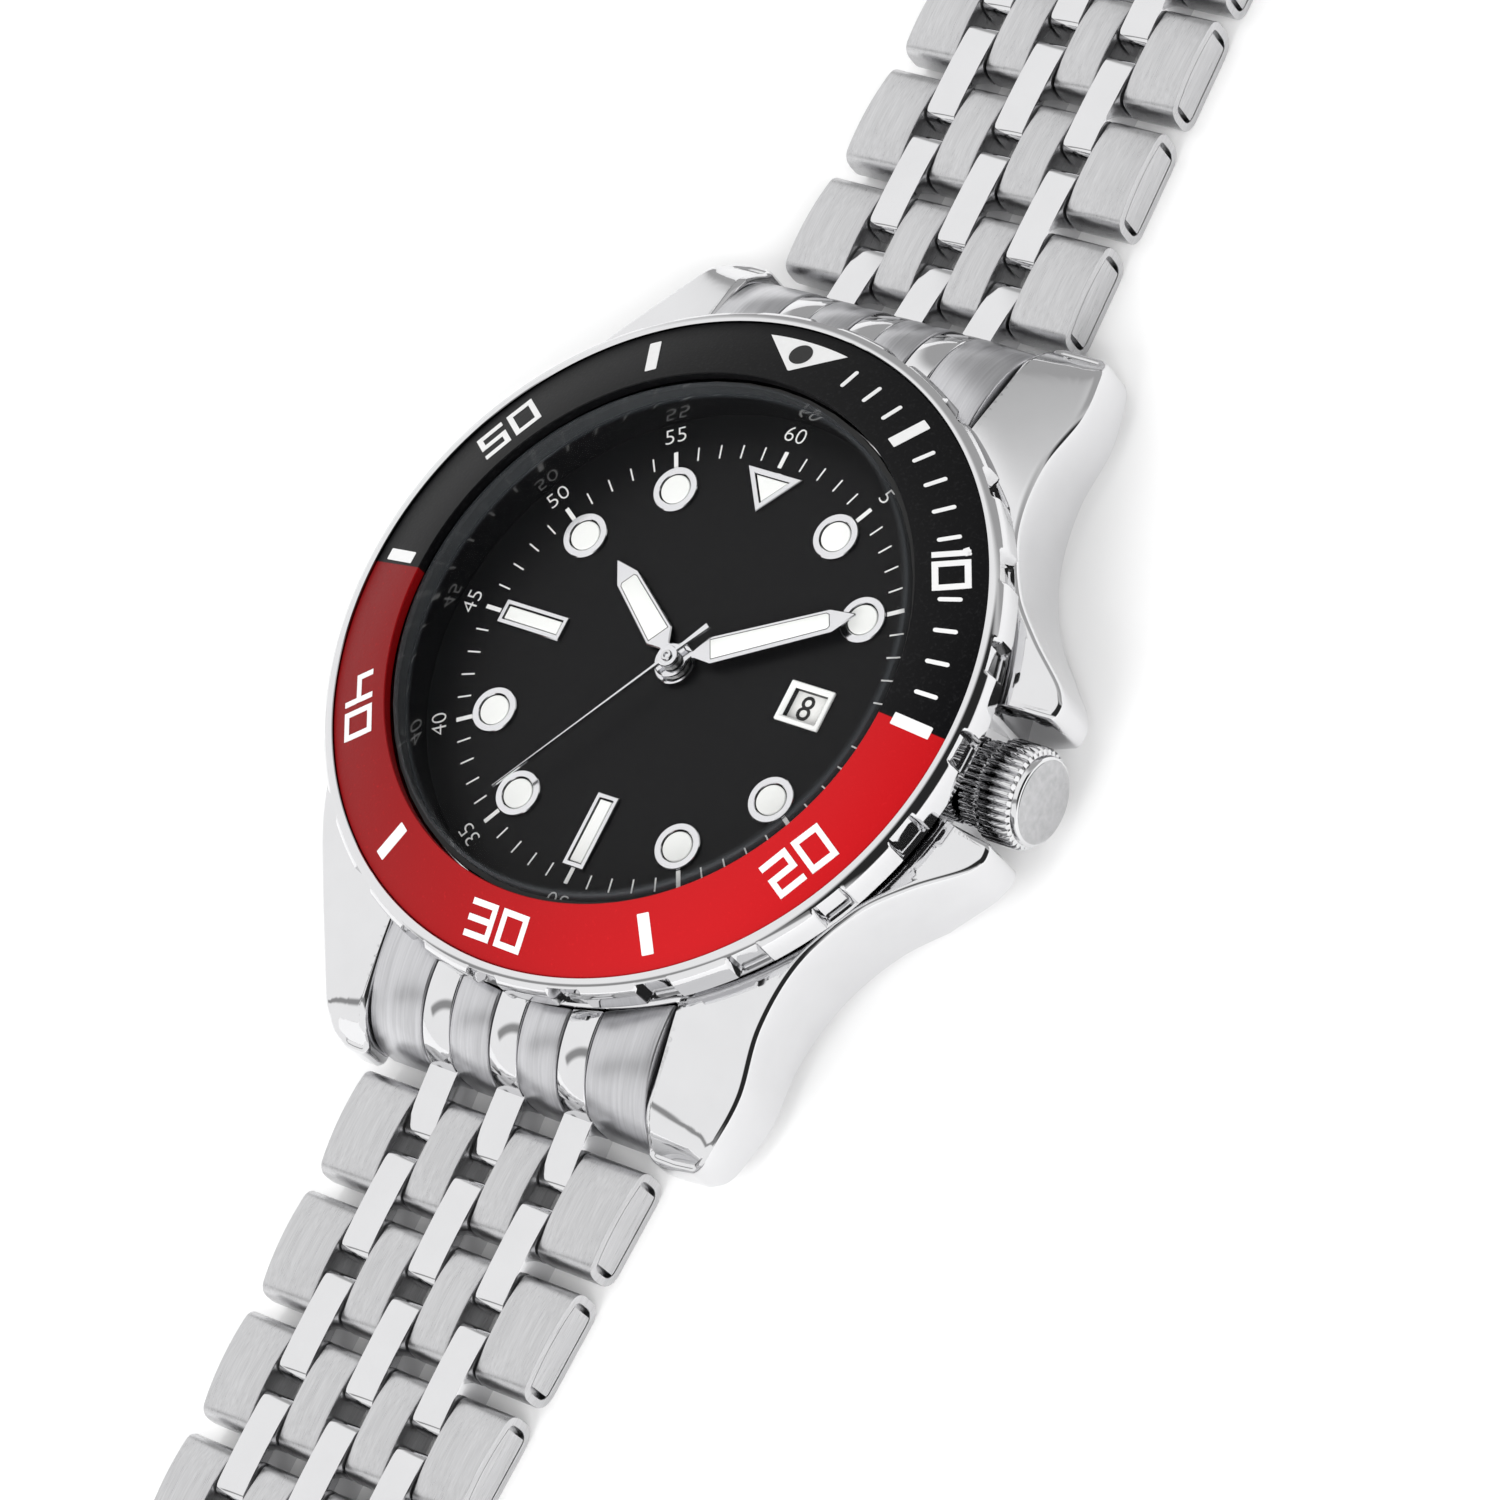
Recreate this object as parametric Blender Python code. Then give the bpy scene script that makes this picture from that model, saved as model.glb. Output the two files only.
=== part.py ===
"""A quartz dive watch on a seven-row steel bracelet, laid open and face up.

Metres, +Z up. The origin is the middle of the case back's flat face. +Z leaves the dial, +Y points to
12 o'clock and +X to 3 o'clock, where the crown is. Lengths below are in millimetres and are scaled once.
"""

import math

import bmesh
import bpy
from mathutils import Matrix, Vector

MM = 0.001
TURN = 2 * math.pi

# Driving dimensions, in millimetres.
BEZEL_RADIUS = 21.3
CASE_TOP = 7.4
CASE_BOTTOM = 1.2
DIAL_TOP = 7.75
DIAL_RADIUS = 16.3
CRYSTAL_RADIUS = 16.0
CRYSTAL_TOP = 11.85
CRYSTAL_UNDERSIDE = 10.15
CROWN_AXIS_Z = 3.9
MOVEMENT_RADIUS = 13.0
LUG_GAP = 20.3
BRACELET_WIDTH = 20.2
ROWS_PER_SIDE = 6
HALF_PITCH = 3.8
LINK_THICKNESS = 3.1
ROW_TAPER = 0.5
PIN_RADIUS = 0.5
PIN_CLEARANCE = 0.06
PIN_Z = LINK_THICKNESS / 2
LUG_BAR_Y = 24.25
LUG_BAR_Z = 2.1

# Worked out from them.
SEAT = 0.05  # gap left between two pieces that rest on each other
BORE_RADIUS = PIN_RADIUS + PIN_CLEARANCE
PITCH = 2 * HALF_PITCH
FIRST_PIN_Y = LUG_BAR_Y + math.sqrt(HALF_PITCH**2 - (LUG_BAR_Z - PIN_Z) ** 2)
INSERT_INNER, INSERT_OUTER = 16.45, 20.35
INSERT_HIGH, INSERT_LOW, INSERT_THICKNESS = 11.8, 10.6, 0.7
POLISHED_WIDTH, INNER_WIDTH, COLUMN_GAP = 2.05, 2.65, 0.1


# ---------------------------------------------------------------- helpers


def clear_scene():
    for old in list(bpy.data.objects):
        bpy.data.objects.remove(old, do_unlink=True)


def finish(name, colour, roughness, metallic=1.0):
    """A Principled material."""
    made = bpy.data.materials.new(name)
    made.use_nodes = True
    shader = made.node_tree.nodes["Principled BSDF"]
    shader.inputs["Base Color"].default_value = (*colour, 1.0)
    shader.inputs["Roughness"].default_value = roughness
    shader.inputs["Metallic"].default_value = metallic
    return made


def pivot(name, place):
    """An empty on a joint's axis, which the pieces of that body are parented to."""
    empty = bpy.data.objects.new(name, None)
    empty.location = Vector(place) * MM
    bpy.context.scene.collection.objects.link(empty)
    return empty


def place_object(name, bm, material, place=(0, 0, 0), turn=0.0, parent=None, tilt=0.0):
    """Turns a bmesh in millimetres into an object. place is in the parent's frame, turn is about Z and tilt about X."""
    bmesh.ops.remove_doubles(bm, verts=bm.verts, dist=1e-4)
    bmesh.ops.recalc_face_normals(bm, faces=bm.faces)
    bmesh.ops.scale(bm, vec=(MM, MM, MM), verts=bm.verts)
    mesh = bpy.data.meshes.new(name)
    bm.to_mesh(mesh)
    bm.free()
    mesh.shade_smooth()
    mesh.set_sharp_from_angle(angle=math.radians(35))
    if material:
        mesh.materials.append(material)
    made = bpy.data.objects.new(name, mesh)
    made.location = Vector(place) * MM
    made.rotation_euler = (tilt, 0, turn)
    made.parent = parent
    bpy.context.scene.collection.objects.link(made)
    return made


def modify(target, tool_name, bm, operation, place=(0, 0, 0), turn=0.0, parent=None, tilt=0.0):
    """Cuts, joins or keeps the part of target that a hidden tool body covers."""
    tool = place_object(tool_name, bm, None, place, turn, parent, tilt)
    tool.hide_render = True
    tool.display_type = "WIRE"
    step = target.modifiers.new(tool_name, "BOOLEAN")
    step.operation = operation
    step.object = tool
    step.solver = "EXACT"
    return target


def lathe(profile, segments, angle=TURN, closed=True):
    """Spins a profile of (radius, height) about Z. A closed profile makes a ring, an open one ends on the axis."""
    bm = bmesh.new()
    verts = [bm.verts.new((r, 0, z)) for r, z in profile]
    pairs = list(zip(verts, verts[1:]))
    if closed:
        pairs.append((verts[-1], verts[0]))
    edges = [bm.edges.new(pair) for pair in pairs]
    if angle < TURN:
        bm.faces.new(verts)
    bmesh.ops.spin(
        bm, geom=verts + edges + list(bm.faces), cent=(0, 0, 0), axis=(0, 0, 1), dvec=(0, 0, 0),
        angle=angle, steps=segments, use_merge=angle == TURN, use_duplicate=False,
    )
    bmesh.ops.remove_doubles(bm, verts=bm.verts, dist=1e-4)
    return bm


def prism(outline, low, high, axis="Z"):
    """Extrudes a closed outline. Its points are (x, y) for axis Z and (y, z) for axis X."""
    bm = bmesh.new()
    if axis == "Z":
        verts = [bm.verts.new((x, y, low)) for x, y in outline]
        rise = (0, 0, high - low)
    else:
        verts = [bm.verts.new((low, y, z)) for y, z in outline]
        rise = (high - low, 0, 0)
    base = bm.faces.new(verts)
    grown = bmesh.ops.extrude_face_region(bm, geom=[base])
    moved = [g for g in grown["geom"] if isinstance(g, bmesh.types.BMVert)]
    bmesh.ops.translate(bm, vec=rise, verts=moved)
    bmesh.ops.recalc_face_normals(bm, faces=bm.faces)
    return bm


def joined(*parts):
    """Several bmeshes as the separate shells of one."""
    whole = bmesh.new()
    for part in parts:
        mesh = bpy.data.meshes.new("shell")
        part.to_mesh(mesh)
        part.free()
        whole.from_mesh(mesh)
        bpy.data.meshes.remove(mesh)
    return whole


def moved(bm, place=(0, 0, 0), turn=0.0, axis="Z"):
    bmesh.ops.rotate(bm, cent=(0, 0, 0), matrix=Matrix.Rotation(turn, 3, axis), verts=bm.verts)
    bmesh.ops.translate(bm, vec=place, verts=bm.verts)
    return bm


def box(x0, x1, y0, y1, z0, z1):
    return prism([(x0, y0), (x1, y0), (x1, y1), (x0, y1)], z0, z1)


def circle(radius, count, centre=(0, 0), start=0.0, span=TURN):
    """Points of an arc, or of a whole circle without its repeated last point."""
    last = count if span == TURN else count - 1
    return [
        (centre[0] + radius * math.cos(start + span * i / last), centre[1] + radius * math.sin(start + span * i / last))
        for i in range(count)
    ]


def rod_x(radius, x0, x1, sides=10, at=(0, 0)):
    """A round bar along X through (y, z) = at."""
    return prism(circle(radius, sides, at), x0, x1, "X")


def smooth_through(points, steps):
    """A Catmull-Rom curve through the points, with steps spans between each two."""
    out = []
    for i in range(len(points) - 1):
        p0, p1 = points[max(i - 1, 0)], points[i]
        p2, p3 = points[i + 1], points[min(i + 2, len(points) - 1)]
        for k in range(steps):
            t = k / steps
            out.append(tuple(
                0.5 * (2 * b + (c - a) * t + (2 * a - 5 * b + 4 * c - d) * t * t + (3 * b - a - 3 * c + d) * t**3)
                for a, b, c, d in zip(p0, p1, p2, p3)
            ))
    out.append(points[-1])
    return out


def mirrored_y(points):
    return [(x, -y) for x, y in reversed(points)]


# ---------------------------------------------------------------- case


def case_outline():
    """The plan outline: waisted sides that flare into the crown guards at +X, plain sides at -X."""
    guard = [(19.2, 0.0), (19.2, 3.45), (23.1, 3.85), (23.4, 4.9)]
    sweep = smooth_through(
        [(23.4, 4.9), (22.6, 6.0), (20.2, 8.0), (17.9, 10.4), (16.1, 13.8), (15.3, 17.8), (15.5, 21.5), (15.0, 24.2)], 3
    )
    tip = [(14.5, 25.5), (13.6, 26.1)]
    right_up = guard + sweep[1:] + tip
    left_up = smooth_through(
        [(-20.9, 0.0), (-20.7, 5.0), (-19.9, 10.5), (-18.6, 14.5), (-16.6, 18.2), (-14.7, 21.6), (-13.2, 24.4)], 3
    )
    left_up = left_up + [(-12.7, 25.5), (-11.9, 26.1)]
    return mirrored_y(right_up)[:-1] + right_up + list(reversed(left_up)) + list(reversed(mirrored_y(left_up)))[1:]


def lug_side_profile(start, reach, rise, floor, count):
    """A quarter ellipse that falls from the case top to the lug tip, as (y, z) points."""
    return [
        (start + reach * math.sin(a), floor + rise * math.cos(a))
        for a in (math.pi / 2 * i / (count - 1) for i in range(count))
    ]


def build_case_middle(steel):
    blank = lathe(
        [
            (16.9, CASE_BOTTOM), (30.0, CASE_BOTTOM), (30.0, 4.45), (20.5, CASE_TOP), (16.9, CASE_TOP), (16.9, 10.3),
            (16.36, 10.3), (16.36, 8.05), (15.95, 8.05), (15.95, DIAL_TOP + SEAT), (16.45, DIAL_TOP + SEAT), (16.45, 2.05), (16.9, 2.05),
        ],
        48,
    )
    case = place_object("case_middle", blank, steel)
    modify(case, "case_plan", prism(case_outline(), 0.5, 12.5), "INTERSECT")
    fall = lug_side_profile(19.0, 7.2, CASE_TOP - 0.9, 0.9, 9)
    side = [(-19.0, 12.4), (19.0, 12.4)] + fall + [(-y, z) for y, z in reversed(fall)]
    modify(case, "case_side", prism(list(reversed(side)), -31, 31, "X"), "INTERSECT")
    for sign in (1, -1):
        slot = [(x, y * sign) for x, y in [(-LUG_GAP / 2, 30)] + list(reversed(circle(20.7, 13, (0, 0), math.radians(60.6), math.radians(58.8)))) + [(LUG_GAP / 2, 30)]]
        modify(case, f"slot_{sign}", prism(slot, -1, 13), "DIFFERENCE")
    modify(case, "bar_holes", joined(*[rod_x(0.55, -13.2, 13.2, 10, (s * LUG_BAR_Y, LUG_BAR_Z)) for s in (1, -1)]), "DIFFERENCE")
    modify(case, "guard_chamfer", moved(box(0, 9, -9, 9, -5, 0), (20.3, 0, CASE_BOTTOM), -0.42, "Y"), "DIFFERENCE")
    modify(case, "tube_hole", rod_x(1.3, 14.0, 26.0, 16, (0, CROWN_AXIS_Z)), "DIFFERENCE")
    return case


def build_case_shell(steel, bright, nylon, rubber, glass, black):
    """The pieces that close the case: back, gaskets, crystal, rehaut and crown tube."""
    build_case_middle(steel)
    back = [(0, 0), (15.6, 0), (17.6, 0.55), (17.9, 0.8), (17.9, CASE_BOTTOM - SEAT), (16.3, CASE_BOTTOM - SEAT), (16.3, 2.6), (15.7, 2.6), (15.7, 1.5), (0, 1.5)]
    lid = place_object("case_back", lathe(back, 36, closed=False), steel)
    wells = joined(*[moved(box(-1.1, 1.1, 16.6, 19.0, -1.0, 0.75), turn=TURN * i / 6) for i in range(6)])
    modify(lid, "wrench_wells", wells, "DIFFERENCE")
    place_object("case_back_gasket", lathe([(16.38, 1.3), (16.8, 1.3), (16.8, 1.9), (16.38, 1.9)], 40), rubber)
    edge = 0.35
    crystal = [
        (0, CRYSTAL_UNDERSIDE), (CRYSTAL_RADIUS, CRYSTAL_UNDERSIDE), (CRYSTAL_RADIUS, CRYSTAL_TOP - edge),
        (CRYSTAL_RADIUS - edge, CRYSTAL_TOP), (0, CRYSTAL_TOP),
    ]
    place_object("crystal", lathe(crystal, 48, closed=False), glass)
    place_object("crystal_gasket", lathe([(16.03, CRYSTAL_UNDERSIDE), (16.32, CRYSTAL_UNDERSIDE), (16.32, 11.0), (16.03, 11.0)], 48), nylon)
    rehaut = [(15.7, 8.11), (16.3, 8.11), (16.3, CRYSTAL_UNDERSIDE - SEAT), (15.85, CRYSTAL_UNDERSIDE - SEAT)]
    place_object("rehaut_ring", lathe(rehaut, 48), black)
    tube = moved(lathe([(0.7, 0), (1.25, 0), (1.25, 5.4), (0.7, 5.4)], 16), turn=math.pi / 2, axis="Y")
    place_object("crown_tube", moved(tube, (17.0, 0, CROWN_AXIS_Z)), bright)


# ---------------------------------------------------------------- bezel


def insert_top(radius):
    return INSERT_HIGH + (INSERT_LOW - INSERT_HIGH) * (radius - INSERT_INNER) / (INSERT_OUTER - INSERT_INNER)


def build_bezel(steel, insert_paint, spring_steel):
    pivot_point = pivot("bezel_axis", (0, 0, 0))
    under = INSERT_THICKNESS + SEAT
    rim = INSERT_OUTER + SEAT
    profile = [
        (17.05, 7.75), (20.8, 7.75), (BEZEL_RADIUS, 8.1), (BEZEL_RADIUS, 10.15), (20.85, 10.7), (rim, 10.7),
        (rim, insert_top(rim) - under), (17.05, insert_top(17.05) - under),
    ]
    ring = place_object("bezel_ring", lathe(profile, 48), steel, parent=pivot_point)
    notch, stand_off, notches = 1.15, 0.62, 24
    cutters = [
        prism(circle(notch, 6, ((BEZEL_RADIUS + stand_off) * math.cos(a), (BEZEL_RADIUS + stand_off) * math.sin(a)), a), 7.0, 11.5)
        for a in (TURN * i / notches for i in range(notches))
    ]
    modify(ring, "grip_notches", joined(*cutters), "DIFFERENCE", parent=pivot_point)
    face = [
        (INSERT_INNER, insert_top(INSERT_INNER) - INSERT_THICKNESS), (INSERT_OUTER, insert_top(INSERT_OUTER) - INSERT_THICKNESS),
        (INSERT_OUTER, insert_top(INSERT_OUTER)), (INSERT_INNER, insert_top(INSERT_INNER)),
    ]
    place_object("bezel_insert", lathe(face, 48), insert_paint, parent=pivot_point)
    click = lathe([(18.3, 7.46), (19.1, 7.46), (19.1, 7.66), (18.3, 7.66)], 36, math.radians(318))
    place_object("bezel_click_spring", click, spring_steel)


# ---------------------------------------------------------------- dial, hands and movement


def marker_outlines():
    """The raised hour markers as closed (x, y) outlines: a triangle, two bars and eight discs."""
    outlines = [[(-1.95, 12.6), (0.0, 10.0), (1.95, 12.6)], [(-0.76, -13.0), (0.76, -13.0), (0.76, -8.4), (-0.76, -8.4)]]
    outlines.append([(-12.75, -0.76), (-8.2, -0.76), (-8.2, 0.76), (-12.75, 0.76)])
    for hour in (1, 2, 4, 5, 7, 8, 10, 11):
        a = math.radians(90 - 30 * hour)
        outlines.append(circle(1.42, 12, (11.5 * math.cos(a), 11.5 * math.sin(a))))
    return outlines


def build_dial(black, date_white):
    plate_low = DIAL_TOP - 0.4
    plate = place_object("dial", lathe([(1.2, plate_low), (DIAL_RADIUS, plate_low), (DIAL_RADIUS, DIAL_TOP), (1.2, DIAL_TOP)], 48), black)
    raised = joined(*[prism(outline, DIAL_TOP - 0.2, DIAL_TOP + 0.1) for outline in marker_outlines()])
    modify(plate, "marker_set", raised, "UNION")
    modify(plate, "date_window", box(8.05, 10.15, -0.85, 0.85, 6, 9), "DIFFERENCE")
    ring_axis = pivot("date_ring_axis", (0, 0, 0))
    place_object("date_ring", lathe([(7.7, 7.0), (12.4, 7.0), (12.4, 7.26), (7.7, 7.26)], 48), date_white, parent=ring_axis)


def hand_outline(reach, half_width, neck, tail_radius):
    """A sword hand along +Y: round boss, neck, parallel blade and pointed tip."""
    boss = circle(tail_radius, 9, (0, 0), math.radians(115), math.radians(310))
    blade_start = neck + 0.9
    right = [(half_width, blade_start), (half_width * 0.8, reach - 1.7), (0.12, reach)]
    return boss + right + [(-x, y) for x, y in reversed(right)]


def hand(name, outline, low, thickness, hole, parent, turn, metal):
    made = place_object(name, prism(outline, low, low + thickness), metal, turn=turn, parent=parent)
    modify(made, name + "_hole", prism(circle(hole, 12), low - 1, low + 1), "DIFFERENCE", parent=parent)
    return made


def gear(teeth, module, low, high, phase, tooth_share=0.36, point_share=0.17):
    """A spur gear outline with straight-sided teeth, extruded."""
    pitch_radius = module * teeth / 2
    outer, root = pitch_radius + 0.8 * module, pitch_radius - 1.15 * module
    points = []
    for i in range(teeth):
        middle = phase + TURN * i / teeth
        for radius, share in ((root, -tooth_share), (outer, -point_share), (outer, point_share), (root, tooth_share)):
            a = middle + share * TURN / teeth * (1.0 if radius == outer else 0.9)
            points.append((radius * math.cos(a), radius * math.sin(a)))
    return prism(points, low, high)


HOUR_HAND_ANGLE = math.radians(55)  # ten past ten, turned anticlockwise from +Y
MINUTE_HAND_ANGLE = math.radians(-60)
SECOND_HAND_ANGLE = math.radians(147)
WHEEL_DISTANCE = 3.0
MINUTE_WHEEL_BEARING = math.radians(200)
CANNON_TEETH, MINUTE_WHEEL_TEETH = 8, 24
MINUTE_PINION_TEETH, HOUR_WHEEL_TEETH = 8, 32


def build_hands_and_wheels(bright, brass):
    hour_axis = pivot("hour_axis", (0, 0, 0))
    minute_axis = pivot("minute_axis", (0, 0, 0))
    second_axis = pivot("second_axis", (0, 0, 0))
    drive_module = 2 * WHEEL_DISTANCE / (CANNON_TEETH + MINUTE_WHEEL_TEETH)
    slow_module = 2 * WHEEL_DISTANCE / (MINUTE_PINION_TEETH + HOUR_WHEEL_TEETH)
    toward = MINUTE_WHEEL_BEARING

    hand("hour_hand", hand_outline(8.4, 0.82, 0.9, 1.28), 7.9, 0.22, 1.04, hour_axis, HOUR_HAND_ANGLE, bright)
    hand("minute_hand", hand_outline(11.5, 0.78, 0.8, 0.95), 8.35, 0.2, 0.67, minute_axis, MINUTE_HAND_ANGLE, bright)
    needle = circle(0.62, 9, (0, 0), math.radians(105), math.radians(150)) + [(-0.1, -1.2), (-0.22, -2.9), (0.22, -2.9), (0.1, -1.2)]
    needle += circle(0.62, 9, (0, 0), math.radians(285), math.radians(150)) + [(0.05, 12.4), (-0.05, 12.4)]
    second = place_object("second_hand", prism(needle, 8.85, 9.03), bright, turn=SECOND_HAND_ANGLE, parent=second_axis)
    modify(second, "second_hand_hole", prism(circle(0.26, 8), 9, 9.59), "DIFFERENCE", parent=second_axis)

    hour_wheel = gear(HOUR_WHEEL_TEETH, slow_module, 5.6, 5.85, toward)
    wheel = place_object("hour_wheel", hour_wheel, brass, parent=hour_axis)
    modify(wheel, "hour_pipe", prism(circle(0.98, 16), 5.55, 8.25), "UNION", parent=hour_axis)
    modify(wheel, "hour_pipe_bore", prism(circle(0.72, 16), 5, 9), "DIFFERENCE", parent=hour_axis)

    cannon = gear(CANNON_TEETH, drive_module, 4.95, 5.35, toward)
    cannon_wheel = place_object("center_wheel", cannon, brass, parent=minute_axis)
    modify(cannon_wheel, "cannon_pipe", prism(circle(0.62, 14), 4.6, 8.72), "UNION", parent=minute_axis)
    modify(cannon_wheel, "center_disc", prism(circle(2.4, 32), 4.55, 4.8), "UNION", parent=minute_axis)
    modify(cannon_wheel, "cannon_neck", prism(circle(0.75, 14), 4.7, 5.0), "UNION", parent=minute_axis)
    modify(cannon_wheel, "cannon_bore", prism(circle(0.34, 12), 4, 10), "DIFFERENCE", parent=minute_axis)

    seconds = place_object("seconds_wheel", gear(20, 0.3, 4.05, 4.3, 0.0), brass, parent=second_axis)
    modify(seconds, "seconds_arbor", prism(circle(0.22, 10), 3.7, 8.9), "UNION", parent=second_axis)

    centre = (WHEEL_DISTANCE * math.cos(toward), WHEEL_DISTANCE * math.sin(toward), 0)
    side_axis = pivot("minute_wheel_axis", centre)
    half_tooth = math.pi / MINUTE_WHEEL_TEETH
    minute_wheel = place_object(
        "minute_wheel", gear(MINUTE_WHEEL_TEETH, drive_module, 5.02, 5.28, toward + math.pi + half_tooth), brass, parent=side_axis
    )
    half_pinion = math.pi / MINUTE_PINION_TEETH
    pinion = gear(MINUTE_PINION_TEETH, slow_module, 5.2, 6.1, toward + math.pi + half_pinion)
    modify(minute_wheel, "minute_pinion", pinion, "UNION", parent=side_axis)
    modify(minute_wheel, "minute_arbor", prism(circle(0.2, 8), 4.42, 6.15), "UNION", parent=side_axis)


def build_movement(plastic, grey, brass, copper, steel):
    low, high = 2.75, 6.4
    holder = place_object(
        "movement_holder", lathe([(MOVEMENT_RADIUS + 0.1, low), (16.2, low), (16.2, 6.6), (15.2, 6.6), (MOVEMENT_RADIUS + 0.1, 6.3)], 48), plastic
    )
    modify(holder, "holder_stem_slot", box(12.5, 17.5, -1.0, 1.0, 2.0, 5.0), "DIFFERENCE")
    plate = place_object("movement_plate", lathe([(0, low), (MOVEMENT_RADIUS, low), (MOVEMENT_RADIUS, high), (0, high)], 48, closed=False), grey)
    modify(plate, "wheel_pocket", prism(circle(6.9, 28), 3.95, 7.0), "DIFFERENCE")
    modify(plate, "centre_bearing", prism(circle(0.3, 10), 3.5, 4.5), "DIFFERENCE")
    modify(plate, "battery_pocket", prism(circle(4.95, 24, (-5.2, 5.0)), 2.0, 3.75), "DIFFERENCE")
    modify(plate, "stem_pocket", box(7.6, 14.0, -1.5, 1.5, 2.0, 5.1), "DIFFERENCE")
    modify(plate, "coil_pocket", box(-7.3, 3.3, -9.4, -6.0, 2.0, 3.75), "DIFFERENCE")
    place_object("battery", lathe([(0, 2.7), (4.3, 2.7), (4.75, 2.9), (4.75, 3.7), (0, 3.7)], 24, closed=False), steel, place=(-5.2, 5.0, 0))
    coil = moved(rod_x(0.48, -3.6, 3.6, 12), (-2.0, -7.7, 3.2))
    core = place_object("stepping_coil", coil, copper)
    modify(core, "coil_core", box(-7.0, 3.0, -8.6, -6.8, 3.05, 3.35), "UNION")


def build_crown(bright, brushed, spring_steel):
    """The setting lever slides with the stem, and the crown and stem turn in it."""
    slide_point = pivot("crown_pull_axis", (0, 0, CROWN_AXIS_Z))
    lever = place_object("setting_lever", box(9.8, 10.2, -1.2, 1.2, -0.9, 0.9), spring_steel, parent=slide_point)
    modify(lever, "lever_hole", rod_x(0.36, 9, 11, 12), "DIFFERENCE", parent=slide_point)
    turn_point = pivot("crown_turn_axis", (0, 0, 0))
    turn_point.parent = slide_point
    flutes, outer, root = 24, 2.95, 2.74
    outline = []
    for i in range(flutes):
        for share, radius in ((0.0, root), (0.28, root), (0.45, outer), (0.83, outer)):
            a = TURN * (i + share) / flutes
            outline.append((radius * math.cos(a), radius * math.sin(a)))
    crown = place_object("crown", prism(outline, 20.6, 23.15, "X"), bright, parent=turn_point)
    cap = moved(lathe([(0, 0), (2.66, 0), (2.66, 0.3), (2.4, 0.55), (0, 0.55)], 32, closed=False), turn=math.pi / 2, axis="Y")
    modify(crown, "crown_cap", moved(cap, (23.0, 0, 0)), "UNION", parent=turn_point)
    modify(crown, "crown_neck", rod_x(2.5, 19.45, 20.9, 24), "UNION", parent=turn_point)
    modify(crown, "crown_well", rod_x(1.5, 19.0, 22.7, 16), "DIFFERENCE", parent=turn_point)
    stem = lathe([(0, 0), (0.3, 0), (0.45, 0.3), (0.45, 1.2), (0.3, 1.2), (0.3, 1.8), (0.45, 1.8), (0.45, 14.1), (0, 14.1)], 12, closed=False)
    stem = moved(stem, turn=math.pi / 2, axis="Y")
    place_object("winding_stem", moved(stem, (8.5, 0, 0)), brushed, parent=turn_point)


# ---------------------------------------------------------------- bracelet


def link_section(thickness, start, end):
    """A link seen from the side, as (y, z) about its near pin: flat below and above, with rounded ends."""
    half, corner = thickness / 2, 1.1 * thickness / LINK_THICKNESS
    ends = ((end - corner, corner - half, -90), (end - corner, half - corner, 0), (start + corner, half - corner, 90), (start + corner, corner - half, 180))
    points = []
    for y, z, angle in ends:
        points += circle(corner, 2, (y, z), math.radians(angle + 8), math.radians(74))
    return points


def polished_columns():
    step = POLISHED_WIDTH + INNER_WIDTH + 2 * COLUMN_GAP
    return [(c - POLISHED_WIDTH / 2, c + POLISHED_WIDTH / 2) for c in (-step, 0.0, step)]


def inner_columns():
    left = POLISHED_WIDTH / 2 + COLUMN_GAP
    return [(-left - INNER_WIDTH, -left), (left, left + INNER_WIDTH)]


OUTER_START = POLISHED_WIDTH * 1.5 + INNER_WIDTH + 3 * COLUMN_GAP
PIN_REACH = 7.9
LINK_OVERHANG = 1.4


def tapered_link(section, x_in, near, far, side):
    """An outer link, whose outer face slants from near to far half-widths along the bracelet."""
    bm = prism(section, x_in, x_in + 1.0, "X")
    y0 = min(y for y, _ in section)
    y1 = max(y for y, _ in section)
    for vert in bm.verts:
        if vert.co.x > x_in + 0.5:
            vert.co.x = near + (far - near) * (vert.co.y - y0) / (y1 - y0)
        vert.co.x *= side
    bmesh.ops.recalc_face_normals(bm, faces=bm.faces)
    return bm


def brushed_row(name, row, place, turn, steel):
    """Four brushed links on their far pin, with a bore for the pin before it."""
    section = link_section(LINK_THICKNESS, -LINK_OVERHANG, HALF_PITCH + LINK_OVERHANG)
    near = (BRACELET_WIDTH - ROW_TAPER * row) / 2
    far = near - ROW_TAPER / 2
    shells = [prism(section, a, b, "X") for a, b in inner_columns()]
    shells += [tapered_link(section, OUTER_START, near, far, side) for side in (1, -1)]
    made = place_object(name, joined(*shells), steel, place=place, turn=turn)
    modify(made, name + "_pin", rod_x(PIN_RADIUS, -PIN_REACH, PIN_REACH, 8, (HALF_PITCH, 0)), "UNION", place, turn)
    modify(made, name + "_bore", rod_x(BORE_RADIUS, -PIN_REACH - 0.1, PIN_REACH + 0.1, 8), "DIFFERENCE", place, turn)
    return made


def polished_row(name, place, turn, tilt, thickness, pin_reach, bright):
    """Three polished links on their far pin, bored for the pin or bar before it."""
    section = link_section(thickness, -LINK_OVERHANG, HALF_PITCH + LINK_OVERHANG)
    shells = [prism(section, a, b, "X") for a, b in polished_columns()]
    made = place_object(name, joined(*shells), bright, place=place, turn=turn, tilt=tilt)
    modify(made, name + "_pin", rod_x(PIN_RADIUS, -pin_reach, pin_reach, 8, (HALF_PITCH, 0)), "UNION", place, turn, tilt=tilt)
    modify(made, name + "_bore", rod_x(BORE_RADIUS, -PIN_REACH, PIN_REACH, 8), "DIFFERENCE", place, turn, tilt=tilt)
    return made


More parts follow.
